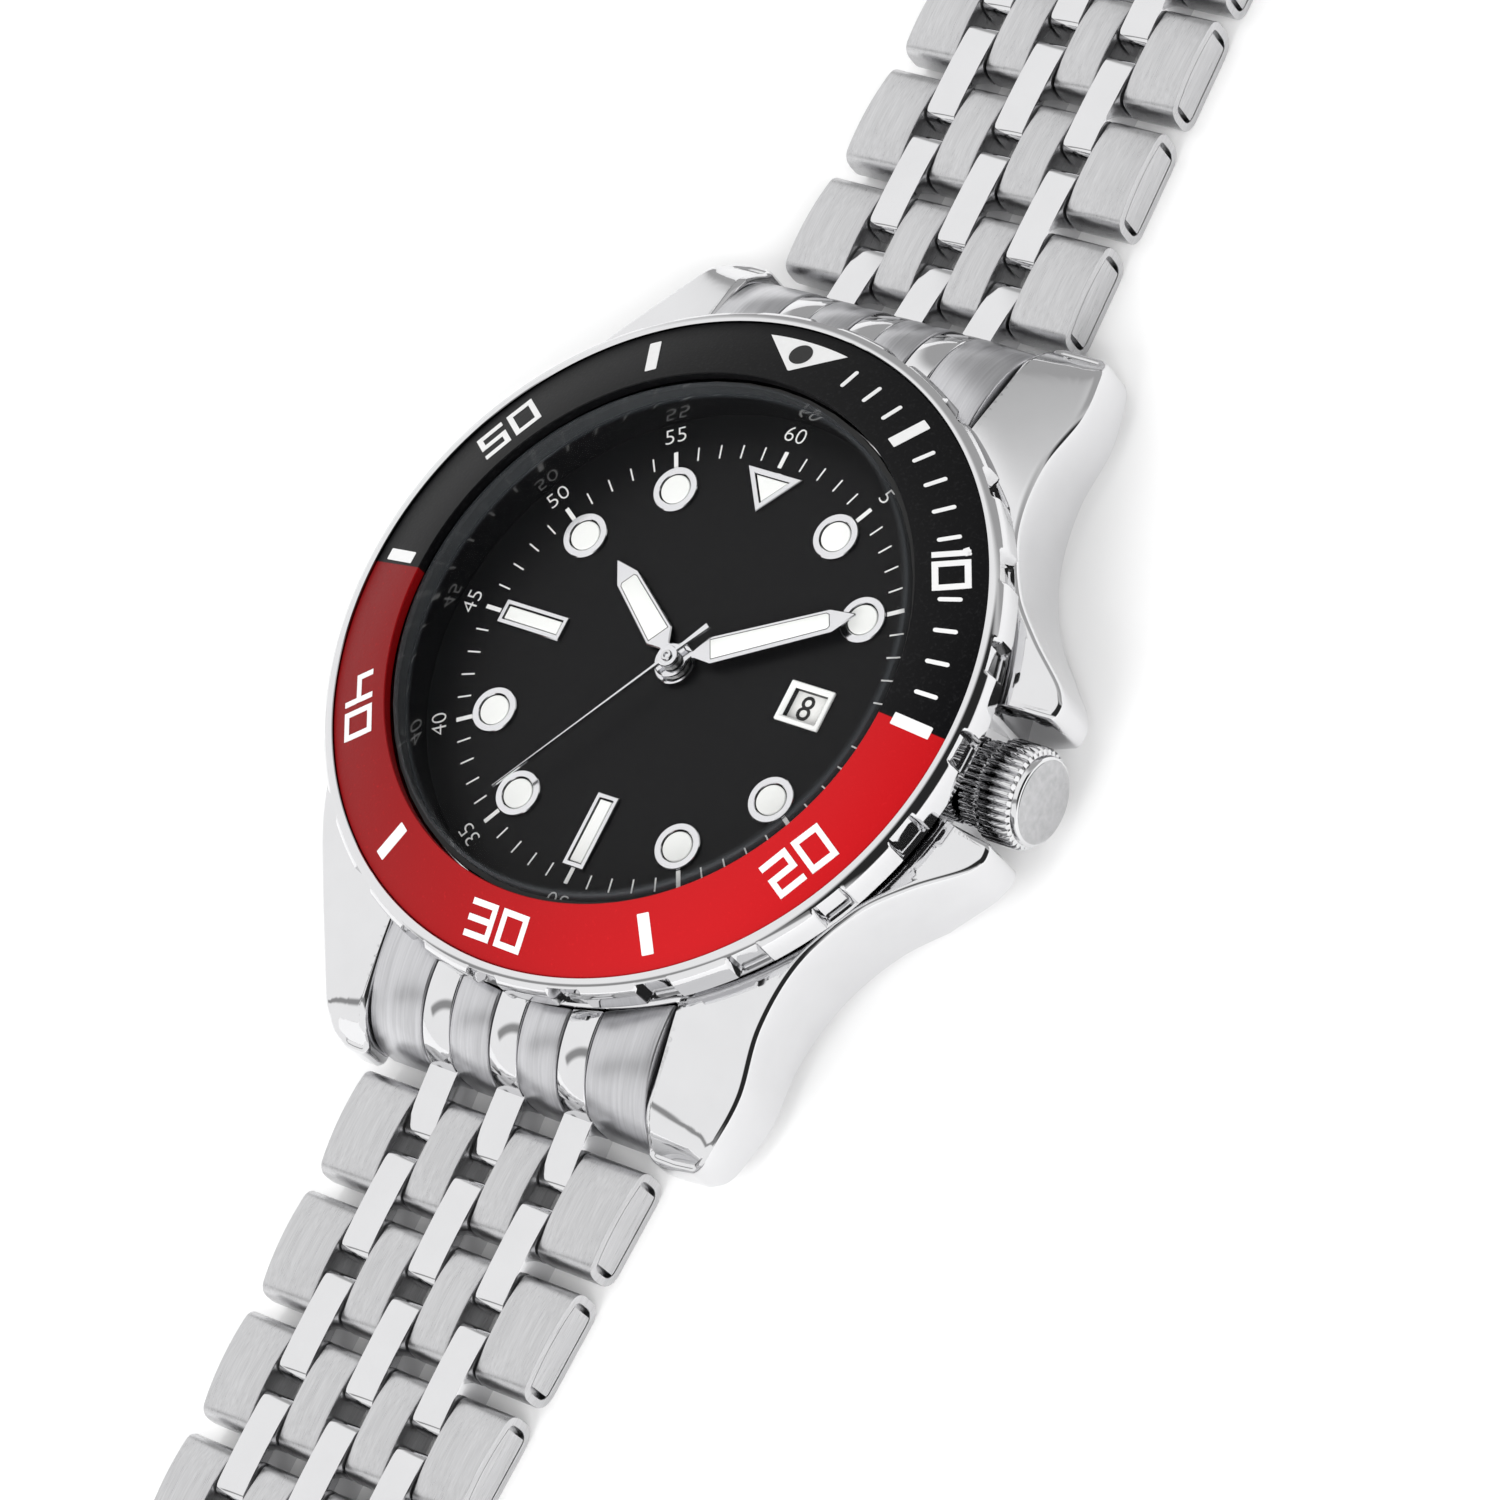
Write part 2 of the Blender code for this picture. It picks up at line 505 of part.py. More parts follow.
def build_bracelet_half(hour, sign, steel, bright):
    """One half of the bracelet, from the lug bar outwards. sign is +1 towards 12 o'clock and -1 towards 6."""
    turn = 0.0 if sign > 0 else math.pi
    drop = math.asin((PIN_Z - LUG_BAR_Z) / HALF_PITCH)
    polished_row(f"polished_row_{hour}_0", (0, sign * LUG_BAR_Y, LUG_BAR_Z), turn, drop, 2.4, PIN_REACH, bright)
    for row in range(ROWS_PER_SIDE):
        pin_y = FIRST_PIN_Y + PITCH * row
        brushed_row(f"brushed_row_{hour}_{row + 1}", row, (0, sign * pin_y, PIN_Z), turn, steel)
        reach = PIN_REACH if row < ROWS_PER_SIDE - 1 else 8.4
        polished_row(f"polished_row_{hour}_{row + 1}", (0, sign * (pin_y + HALF_PITCH), PIN_Z), turn, 0.0, LINK_THICKNESS, reach, bright)


def build_end_link(hour, sign, steel, bright):
    """The curved end piece between the lugs, grooved in line with the polished links, and its spring bar."""
    reach = LUG_GAP / 2 - 0.1
    fall = lug_side_profile(20.0, 5.4, 4.8, 2.3, 8)
    side = [(18.0, 7.1)] + fall + [(25.4, 0.9), (18.0, 0.9)]
    body = prism([(y * sign, z) for y, z in side], -reach, reach, "X")
    made = place_object(f"end_link_{hour}", body, steel)
    modify(made, f"barrel_{hour}", prism(circle(20.8, 72), -2, 12), "DIFFERENCE")
    clear = 0.12
    tongues = [prism([(y * sign, z) for y, z in [(19.0, -1.0), (30.0, -1.0), (30.0, 3.0), (26.2, 3.3), (24.2, 3.6), (22.2, 3.6), (19.0, 2.0)]], a - clear, b + clear, "X") for a, b in polished_columns()]
    modify(made, f"tongue_gaps_{hour}", joined(*tongues), "DIFFERENCE")
    modify(made, f"bar_way_{hour}", rod_x(0.56, -12, 12, 10, (sign * LUG_BAR_Y, LUG_BAR_Z)), "DIFFERENCE")
    bar = lathe([(0, -12.9), (0.38, -12.9), (0.38, -10.0), (0.5, -10.0), (0.5, 10.0), (0.38, 10.0), (0.38, 12.9), (0, 12.9)], 10, closed=False)
    bar = moved(bar, turn=math.pi / 2, axis="Y")
    place_object(f"lug_spring_bar_{hour}", moved(bar, (0, sign * LUG_BAR_Y, LUG_BAR_Z)), bright)


# ---------------------------------------------------------------- clasp

CLASP_LENGTH = 34.0
CLASP_ARC_RADIUS = 75.0
CLASP_OUTER_HALF = 9.0
CLASP_WALL = 0.8


def clasp_point(along, height):
    """Maps a distance along the clasp and a height above its chord onto the wrist arc, about the clasp's near pin."""
    middle = CLASP_LENGTH / 2 - 1.5
    angle = (along - middle) / CLASP_ARC_RADIUS
    sagitta = CLASP_ARC_RADIUS * (1 - math.cos(CLASP_LENGTH / 2 / CLASP_ARC_RADIUS))
    radius = CLASP_ARC_RADIUS + height
    return (middle + radius * math.sin(angle), radius * math.cos(angle) - CLASP_ARC_RADIUS + sagitta - PIN_Z)


def arc_band(start, end, low, high, x0, x1, steps=7):
    """A plate that follows the wrist arc."""
    marks = [start + (end - start) * i / steps for i in range(steps + 1)]
    outline = [clasp_point(s, low) for s in marks] + [clasp_point(s, high) for s in reversed(marks)]
    return prism(outline, x0, x1, "X")


def build_clasp(steel, bright):
    near = (0, FIRST_PIN_Y + PITCH * ROWS_PER_SIDE, PIN_Z)
    cover_axis = pivot("clasp_axis", near)
    end = CLASP_LENGTH - 1.5
    top_low, top_high = 3.5, 4.5
    cover = place_object("clasp_cover", arc_band(-1.5, end, top_low, top_high, -CLASP_OUTER_HALF, CLASP_OUTER_HALF), steel, parent=cover_axis)
    for side in (1, -1):
        x0, x1 = sorted((side * CLASP_OUTER_HALF, side * (CLASP_OUTER_HALF - CLASP_WALL)))
        modify(cover, f"clasp_wall_{side}", arc_band(-1.5, end, 0.6, top_high - 0.3, x0, x1), "UNION", parent=cover_axis)
    hinge = clasp_point(end - 1.6, 1.9)
    modify(cover, "clasp_far_pin", rod_x(0.45, -8.6, 8.6, 8, hinge), "UNION", parent=cover_axis)
    modify(cover, "clasp_near_holes", rod_x(BORE_RADIUS, -8.5, 8.5, 8), "DIFFERENCE", parent=cover_axis)

    blade_axis = pivot("middle_blade_axis", (0, *hinge))
    blade_axis.parent = cover_axis
    shift = (0, -hinge[0], -hinge[1])
    fold = clasp_point(8.0, 1.45)
    blade = place_object("clasp_middle_blade", moved(arc_band(7.6, end - 2.0, 1.75, 2.5, -4.6, 4.6), shift), bright, parent=blade_axis)
    knuckle = moved(rod_x(1.0, -4.6, 4.6, 12, hinge), shift)
    modify(blade, "middle_knuckle", knuckle, "UNION", parent=blade_axis)
    modify(blade, "middle_knuckle_bore", rod_x(0.52, -5, 5, 8), "DIFFERENCE", parent=blade_axis)
    modify(blade, "fold_knuckle", moved(rod_x(0.95, -4.6, 4.6, 12, fold), shift), "UNION", parent=blade_axis)
    modify(blade, "fold_pin", moved(rod_x(0.4, -7.0, 7.0, 8, fold), shift), "UNION", parent=blade_axis)

    fold_axis = pivot("inner_blade_axis", (0, fold[0] - hinge[0], fold[1] - hinge[1]))
    fold_axis.parent = blade_axis
    back = (0, -fold[0], -fold[1])
    inner = place_object("clasp_inner_blade", moved(arc_band(9.6, end + 0.6, 0.25, 0.82, -7.2, 7.2), back), bright, parent=fold_axis)
    far = clasp_point(end + 1.9, 1.6)
    for side in (1, -1):
        x0, x1 = sorted((side * 4.8, side * 7.2))
        modify(inner, f"fold_ear_{side}", moved(arc_band(7.0, 11.0, 0.35, 2.1, x0, x1, 4), back), "UNION", parent=fold_axis)
        x0, x1 = sorted((side * 6.1, side * 7.2))
        modify(inner, f"far_ear_{side}", moved(arc_band(end - 0.8, end + 2.7, 0.72, 2.4, x0, x1, 3), back), "UNION", parent=fold_axis)
    modify(inner, "fold_ear_bore", rod_x(0.46, -8, 8, 8), "DIFFERENCE", parent=fold_axis)
    modify(inner, "far_ear_bore", moved(rod_x(BORE_RADIUS, -8, 8, 8, far), back), "DIFFERENCE", parent=fold_axis)

    lock_hinge = clasp_point(end - 0.2, top_high - 0.6)
    lock_axis = pivot("lock_axis", (0, *lock_hinge))
    lock_axis.parent = cover_axis
    shift = (0, -lock_hinge[0], -lock_hinge[1])
    lock = place_object("clasp_lock", moved(arc_band(end - 9.0, end + 0.6, top_high + 0.1, top_high + 0.8, -9.9, 9.9, 4), shift), bright, parent=lock_axis)
    for side in (1, -1):
        x0, x1 = sorted((side * 9.1, side * 9.9))
        modify(lock, f"lock_ear_{side}", moved(arc_band(end - 2.6, end + 0.6, 2.6, top_high + 0.5, x0, x1, 2), shift), "UNION", parent=lock_axis)


# ---------------------------------------------------------------- the watch


def build_watch():
    clear_scene()
    polished = finish("polished_steel", (0.80, 0.80, 0.81), 0.08)
    brushed = finish("brushed_steel", (0.66, 0.66, 0.67), 0.34)
    spring_steel = finish("spring_steel", (0.55, 0.56, 0.58), 0.3)
    brass = finish("wheel_brass", (0.72, 0.56, 0.25), 0.3)
    copper = finish("coil_copper", (0.65, 0.32, 0.17), 0.4)
    insert_paint = finish("insert_anodising", (0.45, 0.01, 0.01), 0.35, 0.3)
    black = finish("black_lacquer", (0.01, 0.01, 0.011), 0.35, 0.0)
    date_white = finish("date_white", (0.85, 0.85, 0.83), 0.5, 0.0)
    nylon = finish("gasket_nylon", (0.75, 0.75, 0.73), 0.5, 0.0)
    rubber = finish("gasket_rubber", (0.03, 0.03, 0.03), 0.7, 0.0)
    plastic = finish("holder_plastic", (0.30, 0.30, 0.31), 0.5, 0.0)
    grey = finish("movement_nickel", (0.50, 0.50, 0.50), 0.35)
    glass = finish("mineral_glass", (0.95, 0.97, 0.97), 0.02, 0.0)
    build_case_shell(polished, polished, nylon, rubber, glass, black)
    build_bezel(polished, insert_paint, spring_steel)
    build_dial(black, date_white)
    build_hands_and_wheels(polished, brass)
    build_movement(plastic, grey, brass, copper, polished)
    build_crown(polished, brushed, spring_steel)
    for hour, sign in ((12, 1), (6, -1)):
        build_end_link(hour, sign, brushed, polished)
        build_bracelet_half(hour, sign, brushed, polished)
    build_clasp(brushed, polished)


build_watch()
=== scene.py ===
"""The finished look of a quartz dive watch on a seven-row steel bracelet.

Lengths are in millimetres inside the functions and become metres when a mesh is made.
"""

import math

import bmesh
import bpy
import numpy as np
from mathutils import Matrix, Vector


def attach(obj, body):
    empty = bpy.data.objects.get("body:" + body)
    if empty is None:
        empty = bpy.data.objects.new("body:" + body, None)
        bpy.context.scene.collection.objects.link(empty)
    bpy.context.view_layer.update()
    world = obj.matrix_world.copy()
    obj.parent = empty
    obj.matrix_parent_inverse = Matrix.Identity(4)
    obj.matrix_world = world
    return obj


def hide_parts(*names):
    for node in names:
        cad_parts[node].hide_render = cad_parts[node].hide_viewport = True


bl_info = {
    "name": "Dive Watch",
    "version": (1, 0, 0),
    "blender": (4, 5, 0),
    "location": "View3D > Sidebar > Dive Watch",
    "description": "Builds the case, bezel, dial, hands, crown and bracelet of a dive watch around its frame",
    "category": "Add Mesh",
}

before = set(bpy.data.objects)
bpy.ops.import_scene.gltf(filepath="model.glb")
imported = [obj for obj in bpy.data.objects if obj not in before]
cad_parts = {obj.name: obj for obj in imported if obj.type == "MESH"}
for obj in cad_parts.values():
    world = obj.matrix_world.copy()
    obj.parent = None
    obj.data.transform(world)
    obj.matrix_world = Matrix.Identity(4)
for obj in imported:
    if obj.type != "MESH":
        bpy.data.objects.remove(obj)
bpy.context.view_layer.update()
MM = 0.001
TURN = 2 * math.pi
HALF_PITCH = 3.8
PIN_Z = 1.55
PIN_REACH = 7.9
LINK_END = 1.4
ROW_GAP = 0.2
CASE_FLOOR = 1.22
SEAT_RADIUS = 19.1
BACK_RADIUS = 17.6
SLOT_HALF = 10.15
SLOT_RADIUS = 20.72
MARK_RADIUS = 18.42


DIAL_TOP = 7.68
CROWN_AXIS_Z = 3.9
BAR_Y, BAR_Z = 24.25, 2.1
FIRST_PIN_Y = BAR_Y + math.sqrt(HALF_PITCH**2 - (BAR_Z - PIN_Z) ** 2)


# ---------------------------------------------------------------- meshes


def add_mesh(name, verts, faces, material, body, replaced=(), angle=35.0, materials=None, index=None):
    """Makes one piece from points in millimetres, and sets the body it rides on."""
    mesh = bpy.data.meshes.new(name)
    mesh.from_pydata((np.asarray(verts, float) * MM).tolist(), [], faces)
    mesh.validate()
    for used in materials or [material]:
        mesh.materials.append(used)
    if index is not None:
        mesh.polygons.foreach_set("material_index", np.asarray(index, np.int32))
    if body:
        close_up(mesh)
    mesh.update()
    mesh.shade_smooth()
    mesh.set_sharp_from_angle(angle=math.radians(angle))
    piece = bpy.data.objects.new(name, mesh)
    bpy.context.scene.collection.objects.link(piece)
    if body:
        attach(piece, body)
        if replaced:
            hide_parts(*replaced)
    return piece


def close_up(mesh):
    """Merges points that lie on each other, drops faces with no area, and turns every shell's faces outward."""
    work = bmesh.new()
    work.from_mesh(mesh)
    bmesh.ops.remove_doubles(work, verts=work.verts, dist=1e-7)
    bmesh.ops.dissolve_degenerate(work, edges=work.edges, dist=1e-8)
    bmesh.ops.recalc_face_normals(work, faces=work.faces)
    work.to_mesh(mesh)
    work.free()


class Shell:
    """Collects surfaces into one mesh."""

    def __init__(self):
        self.verts, self.faces, self.index, self.count = [], [], [], 0

    def add(self, verts, faces, slot=0):
        self.verts.append(np.asarray(verts, float).reshape(-1, 3))
        self.faces += [tuple(int(i) + self.count for i in face) for face in faces]
        self.index += [slot] * len(faces)
        self.count += len(self.verts[-1])

    def grid(self, points, wrap_u=False, wrap_v=False, slot=0, flip=False):
        """Quads over an array of points P[u, v], closed round u or v where asked."""
        n, m = points.shape[:2]
        ids = np.arange(n * m).reshape(n, m)
        u = np.vstack([ids, ids[:1]]) if wrap_u else ids
        u = np.hstack([u, u[:, :1]]) if wrap_v else u
        quads = np.stack([u[:-1, :-1], u[1:, :-1], u[1:, 1:], u[:-1, 1:]], -1).reshape(-1, 4)
        if flip:
            quads = quads[:, ::-1]
        self.add(points, quads.tolist(), slot)

    def fan(self, ring, slot=0, flip=False):
        """One flat face over a closed ring of points."""
        order = list(range(len(ring)))
        self.add(ring, [order[::-1] if flip else order], slot)

    def stack(self, rings, slot=0, caps=True, flip=False):
        """Rings of equal length joined in order, R[k, i], with a flat face over the first and the last."""
        rings = np.asarray(rings, float)
        self.grid(rings, wrap_v=True, slot=slot, flip=flip)
        if caps:
            self.fan(rings[0], slot, not flip)
            self.fan(rings[-1], slot, flip)

    def piece(self, name, material, body, slot, replaced=(), angle=35.0, materials=None):
        """Makes the collected surfaces one piece."""
        verts = np.vstack(self.verts)
        return add_mesh(name, verts, self.faces, material, body, replaced, angle, materials, self.index)


def spin(profile, segments=256):
    """A profile of (radius, height) carried round Z: P[i, k] = (r_k cos t_i, r_k sin t_i, z_k)."""
    profile = np.asarray(profile, float)
    t = np.linspace(0, TURN, segments, endpoint=False)[:, None]
    r, z = profile[None, :, 0], profile[None, :, 1]
    return np.stack([r * np.cos(t), r * np.sin(t), z + 0 * t], -1)


def rounded_rectangle(half_x, half_y, radius, steps=5):
    """A closed outline: four quarter circles of the given radius at the corners, anticlockwise."""
    radius = min(radius, half_x, half_y)
    out = []
    for cx, cy, start in ((1, 1, 0), (-1, 1, 90), (-1, -1, 180), (1, -1, 270)):
        a = np.radians(np.linspace(start, start + 90, steps))
        out.append(
            np.stack([cx * (half_x - radius) + radius * np.cos(a), cy * (half_y - radius) + radius * np.sin(a)], 1)
        )
    return np.vstack(out)


def inset(outline, distance):
    """Moves a closed anticlockwise outline inwards: each point goes along the mean of its two edge normals,
    lengthened at corners."""
    outline = np.asarray(outline, float)
    ahead = np.roll(outline, -1, 0) - outline
    back = outline - np.roll(outline, 1, 0)
    ahead /= np.linalg.norm(ahead, axis=1, keepdims=True) + 1e-12
    back /= np.linalg.norm(back, axis=1, keepdims=True) + 1e-12
    normal = np.stack([-(ahead + back)[:, 1], (ahead + back)[:, 0]], 1)
    normal /= np.linalg.norm(normal, axis=1, keepdims=True) + 1e-12
    cosine = np.clip((normal * np.stack([-ahead[:, 1], ahead[:, 0]], 1)).sum(1), 0.4, 1)
    return outline + normal * (distance / cosine)[:, None]


def raise_outline(outline, heights):
    """Rings for a flat-topped relief: each (inset, z) pair gives one ring. The outline is points, or a function
    of the inset."""
    rings = []
    for distance, z in heights:
        ring = outline(distance) if callable(outline) else inset(outline, distance)
        rings.append(np.column_stack([ring, np.full(len(ring), z)]))
    return np.stack(rings)


def rectangle(half_x, half_y, radius, centre):
    """A rounded rectangle as a function of how far it is taken in, so its corners stay square."""
    return lambda d: rounded_rectangle(half_x - d, half_y - d, max(radius - d, 0.02), 3) + centre


def turned(points, angle, shift=(0, 0, 0)):
    """Points turned about Z, x' = x cos a - y sin a and y' = x sin a + y cos a, then shifted."""
    c, s = math.cos(angle), math.sin(angle)
    points = np.asarray(points, float)
    out = points.copy()
    out[..., 0] = c * points[..., 0] - s * points[..., 1] + shift[0]
    out[..., 1] = s * points[..., 0] + c * points[..., 1] + shift[1]
    if points.shape[-1] == 3:
        out[..., 2] = points[..., 2] + shift[2]
    return out


def smooth_line(points, steps=8):
    """A Catmull-Rom curve through the points."""
    p = np.asarray(points, float)
    p = np.vstack([2 * p[0] - p[1], p, 2 * p[-1] - p[-2]])
    t = np.linspace(0, 1, steps, endpoint=False)[:, None]
    out = []
    for a, b, c, d in zip(p[:-3], p[1:-2], p[2:-1], p[3:]):
        out.append(
            0.5 * (2 * b + (c - a) * t + (2 * a - 5 * b + 4 * c - d) * t**2 + (3 * b - a - 3 * c + d) * t**3)
        )
    return np.vstack(out + [p[-2][None]])


def resample(points, spacing):
    """Points at an even spacing along a line, corners kept only as near as that spacing."""
    p = np.asarray(points, float)
    run = np.concatenate([[0], np.cumsum(np.linalg.norm(np.diff(p, axis=0), axis=1))])
    count = max(2, int(round(run[-1] / spacing)) + 1)
    at = np.linspace(0, run[-1], count)
    return np.stack([np.interp(at, run, p[:, k]) for k in range(p.shape[1])], 1)


# ---------------------------------------------------------------- materials


class Value:
    """A shader socket that takes part in arithmetic."""

    def __init__(self, tree, socket):
        self.tree, self.socket = tree, socket

    def _math(self, operation, *values, clamp=False):
        node = self.tree.make(
            "ShaderNodeMath", {"operation": operation, "use_clamp": clamp}, dict(enumerate(values))
        )
        return node.out(0)

    def __add__(self, other):
        return self._math("ADD", self, other)

    __radd__ = __add__

    def __sub__(self, other):
        return self._math("SUBTRACT", self, other)

    def __rsub__(self, other):
        return self._math("SUBTRACT", other, self)

    def __mul__(self, other):
        return self._math("MULTIPLY", self, other)

    __rmul__ = __mul__

    def power(self, other):
        return self._math("POWER", self, other)

    def band(self, low, high):
        """0 at low, 1 at high, straight between and held outside."""
        return self._math("DIVIDE", self - low, high - low, clamp=True)

    def eased(self, low, high):
        """band() with level ends: 3t^2 - 2t^3."""
        t = self.band(low, high)
        return t * t * (3.0 - 2.0 * t)


class Made:
    """A node whose outputs are read as Values."""

    def __init__(self, tree, node):
        self.tree, self.node = tree, node

    def out(self, key):
        return Value(self.tree, self.node.outputs[key])


class Tree:
    """A material's node tree and its Principled shader, or a world's and its Background."""

    def __init__(self, name, world=False):
        self.material = (bpy.data.worlds if world else bpy.data.materials).new(name)
        self.material.use_nodes = True
        self.nodes, self.links = self.material.node_tree.nodes, self.material.node_tree.links
        self.shader = self.nodes["Background" if world else "Principled BSDF"]
        self.place = self.make("ShaderNodeTexCoord").out("Generated" if world else "Object")

    def make(self, kind, settings=None, inputs=None):
        """Adds a node, sets it up, then fills its sockets with numbers or links."""
        node = self.nodes.new(kind)
        for key, value in (settings or {}).items():
            if key == "ramp":
                elements = node.color_ramp.elements
                while len(elements) < len(value):
                    elements.new(0.5)
                for element, (position, colour) in zip(elements, value):
                    element.position, element.color = position, (*colour, 1.0)
            else:
                setattr(node, key, value)
        for key, value in (inputs or {}).items():
            self.fill(node.inputs[key], value)
        return Made(self, node)

    def fill(self, socket, value):
        if isinstance(value, Value):
            self.links.new(value.socket, socket)
        elif isinstance(value, tuple) and len(value) == 3 and socket.type == "RGBA":
            socket.default_value = (*value, 1.0)
        else:
            socket.default_value = value

    def set(self, **inputs):
        """Sets the Principled shader's sockets, with _ for a space in their names."""
        for key, value in inputs.items():
            self.fill(self.shader.inputs[key.replace("_", " ")], value)
        return self

    def axes(self, source=None):
        made = self.make("ShaderNodeSeparateXYZ", {}, {0: source or self.place})
        return made.out(0), made.out(1), made.out(2)

    def stretched(self, scale):
        """Object coordinates multiplied by a scale for each axis."""
        return self.make("ShaderNodeVectorMath", {"operation": "MULTIPLY"}, {0: self.place, 1: scale}).out(0)

    def noise(self, scale, detail=3.0, roughness=0.55, vector=None):
        return self.make(
            "ShaderNodeTexNoise", {}, {
                "Vector": vector or self.place, "Scale": scale, "Detail": detail, "Roughness": roughness
            }
        ).out(0)

    def blend(self, factor, first, second):
        return self.make("ShaderNodeMix", {"data_type": "RGBA"}, {"Factor": factor, 6: first, 7: second}).out(2)

    def bump(self, height, strength, distance):
        made = self.make("ShaderNodeBump", {}, {"Strength": strength, "Distance": distance, "Height": height})
        self.fill(self.shader.inputs["Normal"], made.out("Normal"))
        return self


LOOKS = {}


def polished_steel(name="polished_steel", tint=(0.74, 0.74, 0.75), roughness=0.045):
    """Mirror-bright steel with the faint swirl of a buffing wheel."""
    tree = Tree(name)
    cloud = tree.noise(420.0, 4.0)
    haze = cloud * 0.035 + roughness
    dark = tuple(c * 0.93 for c in tint)
    tree.set(Base_Color=tree.blend(cloud, tint, dark), Metallic=1.0, Roughness=haze)
    return tree.material


def brushed_steel(name, grain=(14000.0, 420.0, 14000.0), tint=(0.66, 0.66, 0.67), roughness=0.2, depth=0.45):
    """Satin steel: fine noise drawn out along the grain shades its colour, roughness and height."""
    tree = Tree(name)
    fine = tree.noise(1.0, 3.0, 0.6, tree.stretched(grain))
    broad = tree.noise(1.0, 2.0, 0.5, tree.stretched(tuple(g * 0.22 for g in grain)))
    lines = fine * 0.65 + broad * 0.35
    dark = tuple(c * 0.72 for c in tint)
    tree.set(
        Base_Color=tree.blend(lines.band(0.3, 0.72), dark, tint), Metallic=1.0, Roughness=lines * 0.2 + roughness
    )
    return tree.bump(lines, depth, 0.00003).material


def turned_steel(name, tint=(0.74, 0.74, 0.75)):
    """Steel faced on a lathe: rings about the case axis."""
    tree = Tree(name)
    x, y, _ = tree.axes()
    radius = (x * x + y * y).power(0.5)
    rings = tree.make(
        "ShaderNodeTexNoise", {"noise_dimensions": "1D"}, {"W": radius, "Scale": 9000.0, "Detail": 3.0}
    ).out(0)
    dark = tuple(c * 0.8 for c in tint)
    tree.set(Base_Color=tree.blend(rings.band(0.3, 0.7), dark, tint), Metallic=1.0, Roughness=rings * 0.2 + 0.16)
    return tree.bump(rings, 0.4, 0.00002).material


def insert_look():
    """Anodised aluminium: black from the 45 mark past 60 to 15 and red from 15 past 30 to 45, with painted shade
    darkening the red towards the 9 o'clock side, and a fine satin speckle."""
    colours = bpy.context.scene.watch_bezel
    bright, painted_shade_tone = tuple(colours.red), tuple(colours.deep_red)
    tree = Tree("insert_anodising")
    x, y, _ = tree.axes()
    speckle = tree.noise(5200.0, 2.0, 0.6)
    soft = tree.noise(90.0, 2.0)
    # Painted shade: the red darkens towards -x, the 9 o'clock side, in place of the light falling from the right.
    red = tree.blend((x + soft * 0.004).eased(-0.016, 0.017), painted_shade_tone, bright)
    red = tree.blend(speckle.band(0.62, 0.85) * 0.5, red, tuple(c * 1.35 + 0.005 for c in bright))
    black = tree.blend(speckle.band(0.55, 0.8), tuple(colours.black), (0.014, 0.014, 0.015))
    tree.set(
        Base_Color=tree.blend(y.band(-0.0003, -0.00024), red, black), Roughness=speckle * 0.16 + 0.34,
        Specular_IOR_Level=0.16
    )
    return tree.bump(speckle, 0.25, 0.00003).material


def plain_paint(
    name, colour, roughness, speckle_size=2500.0, contrast=0.06, metallic=0.0, coat=0.0, height=0.15, gloss=0.5
):
    """Paint, lacquer or moulded plastic with a fine uneven surface."""
    tree = Tree(name)
    grain = tree.noise(speckle_size, 3.0)
    low = tuple(c * (1 - contrast) for c in colour)
    high = tuple(min(1.0, c * (1 + contrast)) for c in colour)
    tree.set(
        Base_Color=tree.blend(grain, low, high), Roughness=grain * 0.1 + roughness, Metallic=metallic,
        Coat_Weight=coat, Specular_IOR_Level=gloss
    )
    return tree.bump(grain, height, 0.00001).material


def crystal_look():
    """Clear flat glass, a little denser where it is seen edge on at its rim."""
    tree = Tree("mineral_glass")
    x, y, _ = tree.axes()
    radius = (x * x + y * y).power(0.5)
    rim = radius.band(0.01562, 0.0159)
    tree.set(
        Base_Color=tree.blend(rim, (0.01, 0.011, 0.012), (0.1, 0.11, 0.12)), Roughness=0.02, Alpha=rim * 0.3 + 0.02,
        IOR=1.5
    )
    return tree.material


def lume_look(name="lume_white", colour=(0.86, 0.87, 0.85)):
    """Luminous paint: matt white with fine grains."""
    return plain_paint(name, colour, 0.45, 3800.0, 0.04, 0.0, 0.15, 0.3)


